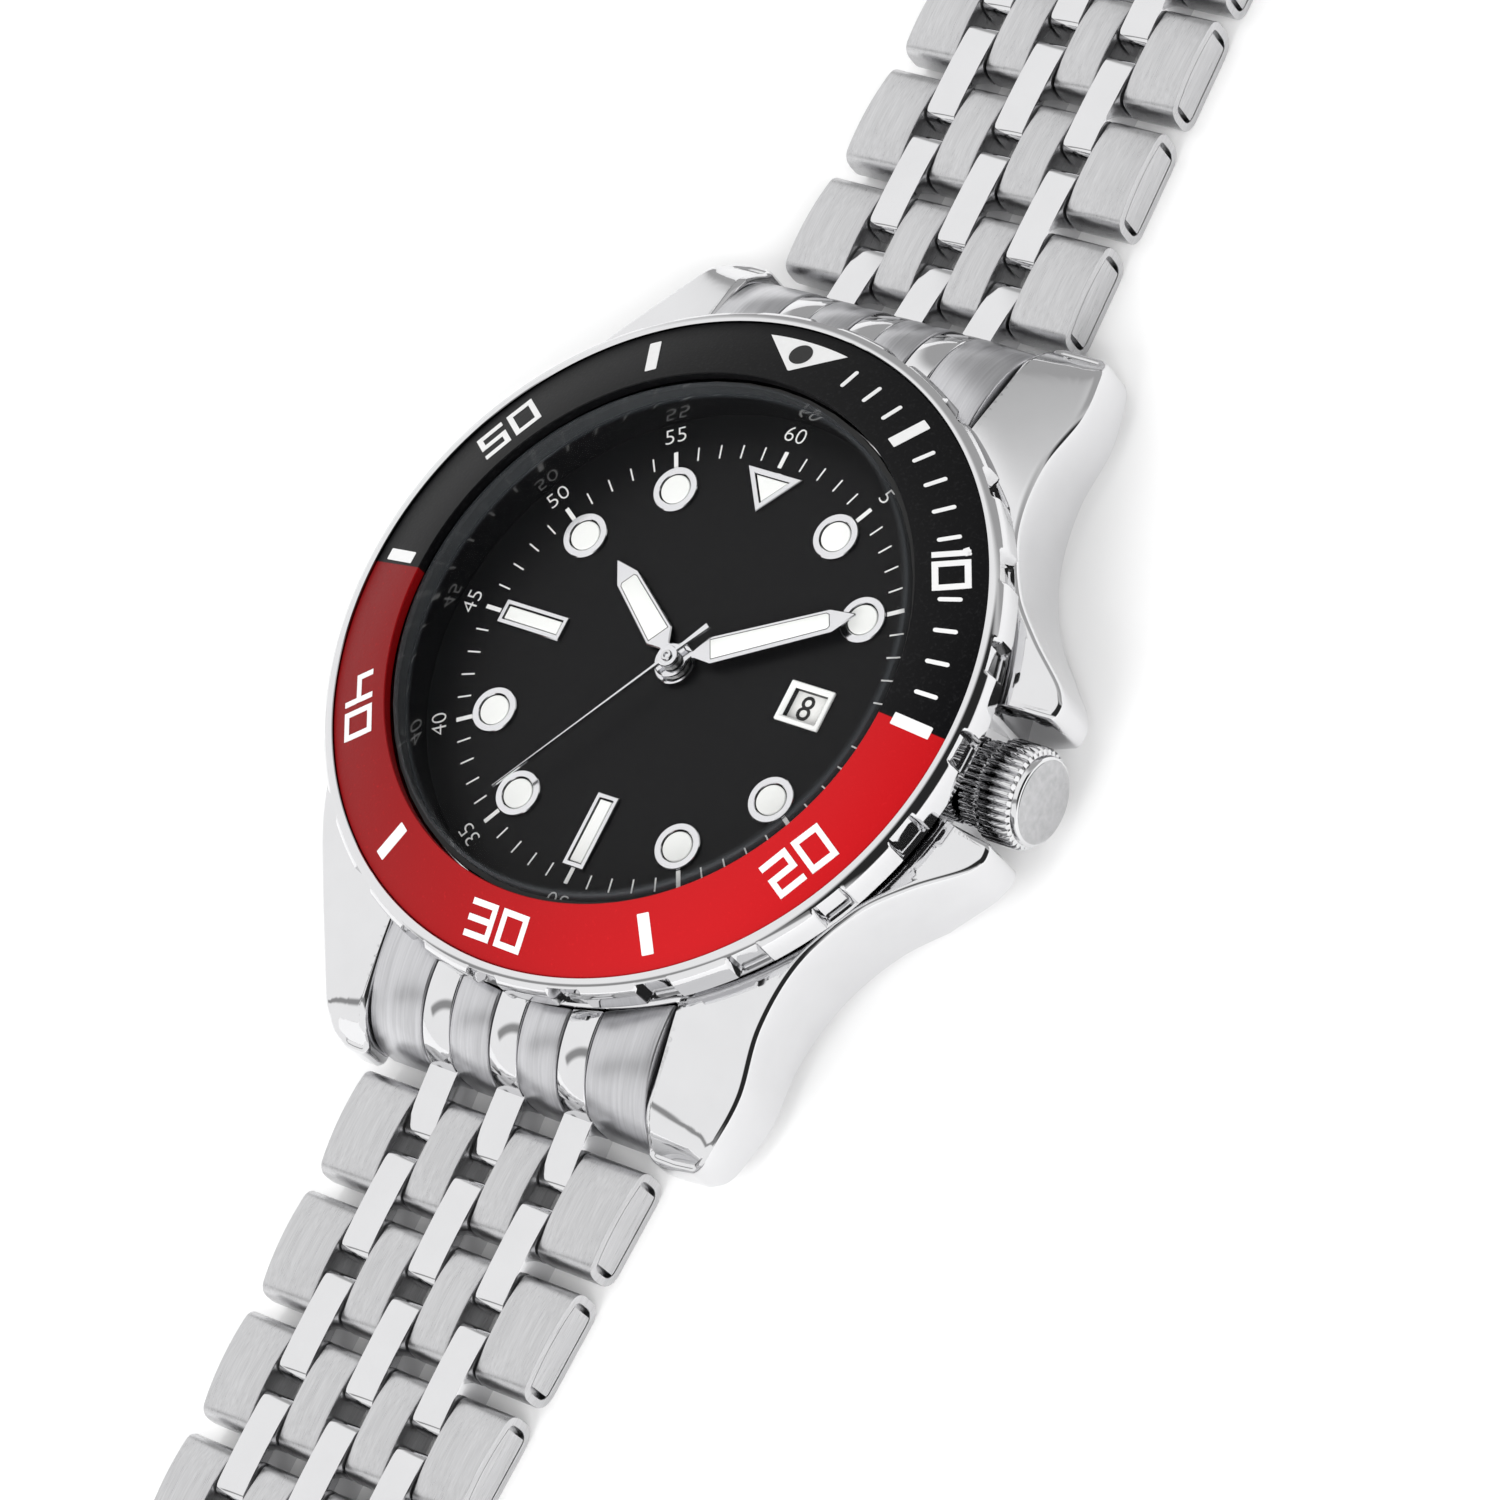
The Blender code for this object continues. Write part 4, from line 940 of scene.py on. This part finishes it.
class WATCH_OT_hands(bpy.types.Operator):
    """The hour, minute and seconds hands"""

    bl_idname = "watch.hands"
    bl_label = "Hands"

    def execute(self, context):
        for body, node, reach, half, neck, boss, low, turn in (
            ("hour", "hour_hand", 8.4, 0.9, 1.3, 1.28, 7.9, math.radians(55)),
            ("minute", "minute_hand", 11.4, 0.84, 1.45, 1.05, 8.35, math.radians(-60)),
        ):
            outline = sword_outline(reach, half, neck, boss)
            shell = Shell()
            shell.stack(
                turned(
                    raise_outline(outline, [(0.03, low), (0.0, low + 0.04), (0.0, low + 0.14), (0.07, low + 0.21)]),
                    turn
                )
            )
            shell.piece(f"{body}_hand_steel", look("hand_steel"), body, "polished_steel", (node,), 25)
            fill = Shell()
            wide, slim = half - 0.24, half * 0.86 - 0.24
            strip = np.array(
                [
                    (wide, neck + 1.05), (slim, reach - 1.75), (slim - 0.12, reach - 1.6),
                    (-slim + 0.12, reach - 1.6), (-slim, reach - 1.75), (-wide, neck + 1.05)
                ]
            )
            fill.stack(turned(raise_outline(strip, [(0, low + 0.1), (0, low + 0.215), (0.06, low + 0.24)]), turn))
            # Painted shade: a black sheet a little wider than the lume strip and just under it, so a dark line shows
            # round the lume where the groove's shade falls.
            seam = Shell()
            seam.stack(turned(raise_outline(strip, [(-0.045, low + 0.1), (-0.045, low + 0.214)]), turn))
            seam.piece(f"{body}_hand_groove_shade", look("seam_painted_shade"), body, "black_lacquer", (), 25)
            fill.piece(f"{body}_hand_lume", look("lume"), body, "date_white", (), 25)
        shell = Shell()
        turn = math.radians(147)
        a = np.radians(np.linspace(100, 260, 14))
        needle = np.vstack([
            np.stack([0.66 * np.cos(a), 0.66 * np.sin(a)], 1), [
                (-0.13, -1.0), (-0.13, -1.3), (-0.2, -2.9), (0.2, -2.9), (0.13, -1.3), (0.13, -1.0)
            ],
            np.stack([-0.66 * np.cos(a[::-1]), 0.66 * np.sin(a[::-1])], 1), [
                (0.09, 1.2), (0.045, 12.35), (-0.045, 12.35), (-0.09, 1.2)
            ],
        ])
        low = 8.85
        shell.stack(turned(raise_outline(needle, [(0.0, low), (0.0, low + 0.12), (0.03, low + 0.18)]), turn))
        shell.piece("second_hand_needle", look("hand_steel"), "second", "polished_steel", ("second_hand",), 25)
        cap = Shell()
        cap.grid(
            spin(
                [(0.001, 9.0), (0.34, 9.0), (0.34, 9.1), (0.3, 9.16), (0.17, 9.16), (0.12, 9.02), (0.001, 9.02)], 32
            ),
            wrap_u=True, wrap_v=True
        )
        cap.piece("centre_cap", look("polished_steel"), "second", "polished_steel", (), 30)
        for node, finish in (
            ("hour_wheel", "nickel"), ("center_wheel", "nickel"), ("seconds_wheel", "brass"),
            ("minute_wheel", "brass")
        ):
            dress(node, finish)
        for node, finish in (
            ("movement_plate", "nickel"), ("movement_holder", "plastic"), ("battery", "turned_steel"),
            ("stepping_coil", "copper")
        ):
            dress(node, finish)
        return {"FINISHED"}


# ---------------------------------------------------------------- crystal and crown


class WATCH_OT_crystal(bpy.types.Operator):
    """The flat crystal with its bevelled edge"""

    bl_idname = "watch.crystal"
    bl_label = "Crystal"

    def execute(self, context):
        shell = Shell()
        shell.grid(
            spin(
                [
                    (0.001, 10.15), (15.98, 10.15), (15.98, 11.55), (15.9, 11.66), (15.72, 11.8), (15.6, 11.84),
                    (0.001, 11.85)
                ],
                256
            ),
            wrap_u=True, wrap_v=True
        )
        shell.piece("crystal_disc", look("glass"), "case", "mineral_glass", ("crystal",), 30)
        return {"FINISHED"}


class WATCH_OT_crown(bpy.types.Operator):
    """The fluted crown with its polished cap and fluted neck"""

    bl_idname = "watch.crown"
    bl_label = "Crown"

    def execute(self, context):
        flutes = context.scene.watch_crown.flutes
        t = np.linspace(0, TURN, flutes * 12, endpoint=False)[:, None]
        groove = 1 - np.abs(np.cos(t * flutes / 2)) ** 0.8
        # (distance out, radius, share of the flute's depth): fluted neck, fluted knob, polished rim
        profile = np.array([
            (19.45, 1.5, 0), (19.45, 2.35, 0.8), (19.55, 2.5, 1.0), (20.5, 2.5, 1.0), (20.62, 2.35, 0.6),
            (20.66, 2.3, 0), (20.72, 2.6, 0.4), (20.85, 2.9, 1), (21.0, 2.95, 1.0), (22.8, 2.95, 1), (22.98, 2.86, 0.8),
            (23.06, 2.66, 0.2), (23.1, 2.58, 0), (23.14, 2.58, 0), (23.38, 2.56, 0), (23.45, 2.52, 0),
            (23.49, 2.46, 0), (23.5, 2.4, 0), (23.5, 0.001, 0), (22.7, 0.001, 0), (22.7, 1.5, 0),
        ])
        r = profile[None, :, 1] - 0.3 * profile[None, :, 2] * groove
        x = profile[None, :, 0] + 0 * t
        points = np.stack([x, r * np.cos(t), r * np.sin(t) + CROWN_AXIS_Z], -1)
        shell = Shell()
        shell.grid(points, wrap_u=True, wrap_v=True, flip=False)
        shell.piece("crown_knob", look("polished_steel"), "crown", "polished_steel", ("crown",), 30)
        cap = Shell()
        disc = spin([(0.001, 23.3), (2.4, 23.3), (2.4, 23.49), (2.37, 23.53), (2.32, 23.55), (0.001, 23.55)], 96)
        cap.grid(disc[..., [2, 0, 1]] + [0, 0, CROWN_AXIS_Z], wrap_u=True, wrap_v=True)
        cap.piece("crown_cap", look("cap_steel"), "crown", "polished_steel", (), 30)
        dress("winding_stem", "turned_steel")
        dress("setting_lever", "spring_steel")
        return {"FINISHED"}


# ---------------------------------------------------------------- bracelet


def fillet(points, cuts, steps=7):
    """Rounds each corner P of a closed outline with the curve (1-t)^2 A + 2t(1-t) P + t^2 B, where A and B lie
    a cut's length along its two edges."""
    p = np.asarray(points, float)
    t = np.linspace(0, 1, steps)[:, None]
    out = []
    for k, cut in enumerate(cuts):
        corner, before, after = p[k], p[k - 1], p[(k + 1) % len(p)]
        a = corner + (before - corner) * cut / np.linalg.norm(before - corner)
        b = corner + (after - corner) * cut / np.linalg.norm(after - corner)
        out.append((1 - t) ** 2 * a + 2 * t * (1 - t) * corner + t**2 * b if cut else corner[None])
    return np.vstack(out)


def link_section(start, end, half_height, depth=0.0, crown=0.42):
    """A link seen from the side, taken in by depth: a flat underside, rounded ends and a top arched by crown, z
    = h - crown s^2."""
    shoulder = half_height - crown
    ends = fillet(
        [(start, shoulder), (start, -half_height), (end, -half_height), (end, shoulder)], [0, 1.25, 1.25, 0], 8
    )
    s = np.linspace(1, -1, 21)[:, None]
    middle, half = (start + end) / 2, (end - start) / 2
    reach = half - 0.75
    top = np.hstack([middle + s * reach, half_height - crown * (s * reach / half) ** 2])
    t = np.linspace(0, 1, 8)[1:-1, None]
    right = (1 - t) ** 2 * [end, shoulder - 0.95] + 2 * t * (1 - t) * [end, shoulder + 0.06] + t**2 * top[:1]
    left = (1 - t) ** 2 * top[-1:] + 2 * t * (1 - t) * [start, shoulder + 0.06] + t**2 * [start, shoulder - 0.95]
    outline = np.vstack([ends[1:-1], [(end, shoulder - 0.95)], right, top, left, [(start, shoulder - 0.95)]])
    return inset(outline, depth) if depth else outline


def block(shell, x0, x1, start, end, half_height, slot, edge=0.14, y0=0.0, z0=PIN_Z, sign=1, tilt=0.0, crown=0.42):
    """Carries the section across x, taken in at both ends to round the edges."""
    rings = []
    for x, depth in (
        (x0, edge), (x0 + edge * 0.3, edge * 0.3), (x0 + edge, 0), (x1 - edge, 0), (x1 - edge * 0.3, edge * 0.3),
        (x1, edge)
    ):
        rings.append(place_section(link_section(start, end, half_height, depth, crown), x, y0, z0, sign, tilt))
    shell.stack(rings, slot, True, flip=sign > 0)


def place_section(section, x, y0, z0, sign, tilt=0.0):
    """Lays a link's (along, up) outline at x, tilted about its near pin, towards 12 o'clock or 6 o'clock as
    sign is 1 or -1."""
    c, s = math.cos(tilt), math.sin(tilt)
    y = section[:, 0] * c - section[:, 1] * s
    z = section[:, 0] * s + section[:, 1] * c
    return np.column_stack([x * np.ones(len(section)), y0 + sign * y, z0 + z])


def folded_end(shell, x_in, x_out, taper, start, end, half_height, side, y0, sign, wall):
    """An outer link folded from thick sheet: its flat end shows the sheet's edge as a rim round a plate with
    square ends, which leaves a dark crescent in each rounded end and a hairline seam along the sides."""

    def ring(x, depth, low=-9.0, high=9.0, drop=0.0):
        section = link_section(start, end, half_height, depth)
        section[:, 0] = np.clip(section[:, 0], low, high)
        share = (section[:, 0] - start) / (end - start)
        across = x - taper * share * (x - x_in) / (x_out - x_in) - drop
        out = place_section(section, 0, y0, PIN_Z, sign)
        out[:, 0] = side * across
        return out

    flip = (sign * side) > 0
    rim = [
        ring(x_in, 0.14), ring(x_in + 0.04, 0.04), ring(x_in + 0.14, 0), ring(x_out - 0.05, 0),
        ring(x_out - 0.012, 0.015), ring(x_out, 0.06), ring(x_out, wall - 0.02), ring(x_out, wall, drop=0.03),
        ring(x_out, wall, drop=0.45)
    ]
    shell.stack(rim, 0, True, flip=flip)
    low, high = start + wall + 0.34, end - wall - 0.34
    plate = [
        ring(x_out, wall + 0.03, low, high, 0.44), ring(x_out, wall + 0.03, low, high, 0.05),
        ring(x_out, wall + 0.05, low, high, 0.02)
    ]
    shell.stack(plate, 0, True, flip=flip)


def pin(shell, y, z, reach, slot=0):
    """A round pin across the bracelet, with its ends taken in a little."""
    t = np.linspace(0, TURN, 16, endpoint=False)
    rings = [
        np.column_stack([np.full(16, x), y + r * np.cos(t), z + r * np.sin(t)]) for x,
        r in ((-reach, 0.42), (-reach + 0.08, 0.5), (reach - 0.08, 0.5), (reach, 0.42))
    ]
    shell.stack(rings, slot, True, flip=True)


class WATCH_OT_bracelet(bpy.types.Operator):
    """The bracelet's rows of brushed and polished links"""

    bl_idname = "watch.bracelet"
    bl_label = "Bracelet"

    def execute(self, context):
        b = context.scene.watch_bracelet
        step = b.polished_width + b.inner_width + ROW_GAP
        start, end, half = -LINK_END, HALF_PITCH + LINK_END, PIN_Z
        # The pins take the near-black pin steel: painted shade that keeps the gaps between rows dark.
        finishes = [look("brushed_link"), look("pin_painted_shade")]
        polished = [look("polished_steel"), look("pin_painted_shade")]
        for hour, sign in ((12, 1), (6, -1)):
            drop = math.asin((PIN_Z - BAR_Z) / HALF_PITCH)
            row = Shell()
            for c in (-step, 0.0, step):
                block(
                    row, c - b.polished_width / 2, c + b.polished_width / 2, start, end, 1.32, 0, 0.12,
                    sign * BAR_Y, BAR_Z, sign, drop, 0.12
                )
            pin(row, sign * FIRST_PIN_Y, PIN_Z, PIN_REACH, 1)
            row.piece(
                f"polished_links_{hour}_0", None, f"links_{hour}_p0", "polished_steel", (f"polished_row_{hour}_0",),
                30, polished
            )
            for k in range(1, 7):
                near = FIRST_PIN_Y + 2 * HALF_PITCH * (k - 1)
                row = Shell()
                inner = b.polished_width / 2 + 0.1
                for x0, x1 in ((-inner - b.inner_width, -inner), (inner, inner + b.inner_width)):
                    block(row, x0, x1, start, end, half, 0, 0.14, sign * near, PIN_Z, sign)
                width = (20.2 - 0.5 * (k - 1)) / 2
                x_in = b.polished_width * 1.5 + b.inner_width + 0.3
                for side in (1, -1):
                    folded_end(row, x_in, width, 0.25, start, end, half, side, sign * near, sign, b.sheet_thickness)
                pin(row, sign * (near + HALF_PITCH), PIN_Z, PIN_REACH, 1)
                row.piece(
                    f"brushed_links_{hour}_{k}", None, f"links_{hour}_b{k}", "brushed_steel",
                    (f"brushed_row_{hour}_{k}",), 30, finishes
                )
                row = Shell()
                for c in (-step, 0.0, step):
                    block(
                        row, c - b.polished_width / 2, c + b.polished_width / 2, start, end, half - 0.02, 0, 0.12,
                        sign * (near + HALF_PITCH), PIN_Z, sign, 0.0, 0.12
                    )
                pin(row, sign * (near + 2 * HALF_PITCH), PIN_Z, PIN_REACH if k < 6 else 8.4, 1)
                row.piece(
                    f"polished_links_{hour}_{k}", None, f"links_{hour}_p{k}", "polished_steel",
                    (f"polished_row_{hour}_{k}",), 30, polished
                )
        return {"FINISHED"}


class WATCH_OT_clasp(bpy.types.Operator):
    """The folding clasp"""

    bl_idname = "watch.clasp"
    bl_label = "Clasp"

    def execute(self, context):
        dress("clasp_cover", "brushed_link")
        for node in ("clasp_middle_blade", "clasp_inner_blade", "clasp_lock"):
            dress(node, "polished_steel")
        return {"FINISHED"}


# ---------------------------------------------------------------- stage


def area_light(name, place, aim, size, power):
    """A square lamp at a place, turned to its aim."""
    data = bpy.data.lights.new(name, "AREA")
    data.shape, data.size, data.energy = "SQUARE", size, power
    lamp = bpy.data.objects.new(name, data)
    lamp.location = place
    lamp.rotation_euler = (Vector(aim) - Vector(place)).to_track_quat("-Z", "Y").to_euler()
    bpy.context.scene.collection.objects.link(lamp)
    return lamp


class WATCH_OT_stage(bpy.types.Operator):
    """Pale floor, soft lights and the camera"""

    bl_idname = "watch.stage"
    bl_label = "Stage"

    def execute(self, context):
        s = context.scene.watch_stage
        context.scene.view_settings.view_transform = "Standard"
        tree = Tree("studio_floor")
        tree.set(
            Base_Color=(0.9, 0.9, 0.9), Roughness=0.8, Specular_IOR_Level=0.1, Emission_Color=(1.0, 1.0, 1.0),
            Emission_Strength=s.floor_glow
        )
        floor = add_mesh(
            "studio_floor_sheet",
            [(-3000, -3000, -0.05), (3000, -3000, -0.05), (3000, 3000, -0.05), (-3000, 3000, -0.05)],
            [(0, 1, 2, 3)], tree.material, None
        )
        room = Tree("studio_room", world=True)
        x, y, z = room.axes()
        open_side = 1.0 - x.eased(0.1, 0.3) * (1.0 - y.eased(0.5, 0.7)) * y.eased(-0.6, -0.4) * z.eased(0.04, 0.14)
        front_flag = 1.0 - 0.7 * (y.eased(-0.66, -0.58) * (1.0 - y.eased(-0.52, -0.44)) * z.eased(0.3, 0.4))
        back_flag = 1.0 - 0.6 * (y.eased(0.55, 0.75))
        bright = open_side * front_flag * back_flag
        room.fill(room.shader.inputs["Color"], (1.0, 1.0, 1.0))
        room.fill(room.shader.inputs["Strength"], bright * s.ambient + 0.03)
        context.scene.world = room.material
        aim = (0.0, 0.0, 0.008)
        for name, place, share in (("right_lamp", (0.75, -0.35, 0.7), 1.0), ("front_lamp", (0.1, -0.8, 0.75), 0.6)):
            lamp = area_light(name, place, aim, 0.6, s.fill_power * share)
            lamp.visible_glossy = False

        camera_data = bpy.data.cameras.new("camera")
        camera_data.lens = s.lens
        camera_data.sensor_width = 36.0
        camera_data.clip_start, camera_data.clip_end = 0.01, 20.0
        camera = bpy.data.objects.new("camera", camera_data)
        target = Vector(s.aim)
        azimuth, elevation = math.radians(s.azimuth), math.radians(s.elevation)
        outward = Vector(
            (math.sin(azimuth) * math.cos(elevation), -math.cos(azimuth) * math.cos(elevation), math.sin(elevation))
        )
        camera.location = target + outward * s.distance
        level = (-outward).to_track_quat("-Z", "Y").to_matrix()
        camera.rotation_euler = (level @ Matrix.Rotation(math.radians(s.roll), 3, "Z")).to_euler()
        context.scene.collection.objects.link(camera)
        context.scene.camera = camera
        return {"FINISHED"}


# ---------------------------------------------------------------- settings and panel


class BezelSettings(bpy.types.PropertyGroup):
    red: bpy.props.FloatVectorProperty(
        name="Red", description="Insert's red on its 3 o'clock side", subtype="COLOR", default=(0.44, 0.006, 0.009),
        min=0.0, max=1.0
    )
    # Painted shade: the darker red painted on the insert's 9 o'clock side in place of the light falling from the right.
    deep_red: bpy.props.FloatVectorProperty(
        name="Deep red", description="Insert's red on its 9 o'clock side", subtype="COLOR",
        default=(0.2, 0.002, 0.003), min=0.0, max=1.0
    )
    black: bpy.props.FloatVectorProperty(
        name="Black", description="Insert's black half", subtype="COLOR", default=(0.003, 0.003, 0.0035), min=0.0,
        max=1.0
    )
    notches: bpy.props.IntProperty(
        name="Notches", description="Grip notches round the bezel", default=24, min=4, max=120
    )
    turn: bpy.props.FloatProperty(
        name="Turn", description="How far the insert's marks are turned from 12 o'clock, in degrees", default=-0.9,
        min=-180.0, max=180.0
    )


class DialSettings(bpy.types.PropertyGroup):
    marker_diameter: bpy.props.FloatProperty(
        name="Marker diameter", description="Outer diameter of a round hour marker, in millimetres", default=2.84,
        min=1.0, max=4.0
    )


class CrownSettings(bpy.types.PropertyGroup):
    flutes: bpy.props.IntProperty(name="Flutes", description="Grooves round the crown", default=36, min=8, max=80)


class BraceletSettings(bpy.types.PropertyGroup):
    polished_width: bpy.props.FloatProperty(
        name="Polished link width", description="Width of a polished link, in millimetres", default=2.05, min=1.0,
        max=4.0
    )
    inner_width: bpy.props.FloatProperty(
        name="Inner link width", description="Width of an inner brushed link, in millimetres", default=2.65,
        min=1.0, max=4.0
    )
    sheet_thickness: bpy.props.FloatProperty(
        name="Sheet thickness", description="Wall of a folded outer link, in millimetres", default=0.5, min=0.2,
        max=1.0
    )


class StageSettings(bpy.types.PropertyGroup):
    ambient: bpy.props.FloatProperty(
        name="Room light", description="Brightness of the lit side of the room", default=1.06, min=0.0, max=5.0
    )
    floor_glow: bpy.props.FloatProperty(
        name="Floor glow", description="Light given off by the floor", default=0.06, min=0.0, max=5.0
    )
    fill_power: bpy.props.FloatProperty(
        name="Fill light", description="Power of the larger lamp, in watts", default=8.0, min=0.0, max=200.0
    )
    lens: bpy.props.FloatProperty(
        name="Lens", description="Focal length in millimetres", default=157.02, min=20.0, max=400.0
    )
    distance: bpy.props.FloatProperty(
        name="Distance", description="Camera distance from its aim point", default=0.35795, unit="LENGTH"
    )
    azimuth: bpy.props.FloatProperty(
        name="Azimuth", description="Camera azimuth in degrees from the 6 o'clock side", default=68.057
    )
    elevation: bpy.props.FloatProperty(name="Elevation", description="Camera elevation in degrees", default=52.51)
    roll: bpy.props.FloatProperty(name="Roll", description="Camera roll in degrees", default=-45.24)
    aim: bpy.props.FloatVectorProperty(
        name="Aim", description="Point at the middle of the view", default=(0.009594, -0.004373, 0.0112),
        unit="LENGTH"
    )


SETTINGS = {
    "watch_bezel": BezelSettings,
    "watch_dial": DialSettings,
    "watch_crown": CrownSettings,
    "watch_bracelet": BraceletSettings,
    "watch_stage": StageSettings,
}
OPERATORS = (
    WATCH_OT_case, WATCH_OT_end_links, WATCH_OT_bezel, WATCH_OT_dial, WATCH_OT_hands, WATCH_OT_crystal,
    WATCH_OT_crown, WATCH_OT_bracelet, WATCH_OT_clasp, WATCH_OT_stage,
)


class WATCH_PT_panel(bpy.types.Panel):
    """Lists the settings and the pieces"""

    bl_idname = "WATCH_PT_panel"
    bl_label = "Dive Watch"
    bl_space_type = "VIEW_3D"
    bl_region_type = "UI"
    bl_category = "Dive Watch"

    def draw(self, context):
        for name, group in SETTINGS.items():
            box = self.layout.box()
            for key in group.__annotations__:
                box.prop(getattr(context.scene, name), key)
        for operator in OPERATORS:
            self.layout.operator(operator.bl_idname)


def register():
    for group in SETTINGS.values():
        bpy.utils.register_class(group)
    for name, group in SETTINGS.items():
        setattr(bpy.types.Scene, name, bpy.props.PointerProperty(type=group))
    for operator in OPERATORS:
        bpy.utils.register_class(operator)
    bpy.utils.register_class(WATCH_PT_panel)


def unregister():
    bpy.utils.unregister_class(WATCH_PT_panel)
    for operator in reversed(OPERATORS):
        bpy.utils.unregister_class(operator)
    for name, group in SETTINGS.items():
        delattr(bpy.types.Scene, name)
        bpy.utils.unregister_class(group)


def main():
    register()
    for operator in OPERATORS:
        group, name = operator.bl_idname.split(".")
        getattr(getattr(bpy.ops, group), name)()


if __name__ == "__main__":
    main()
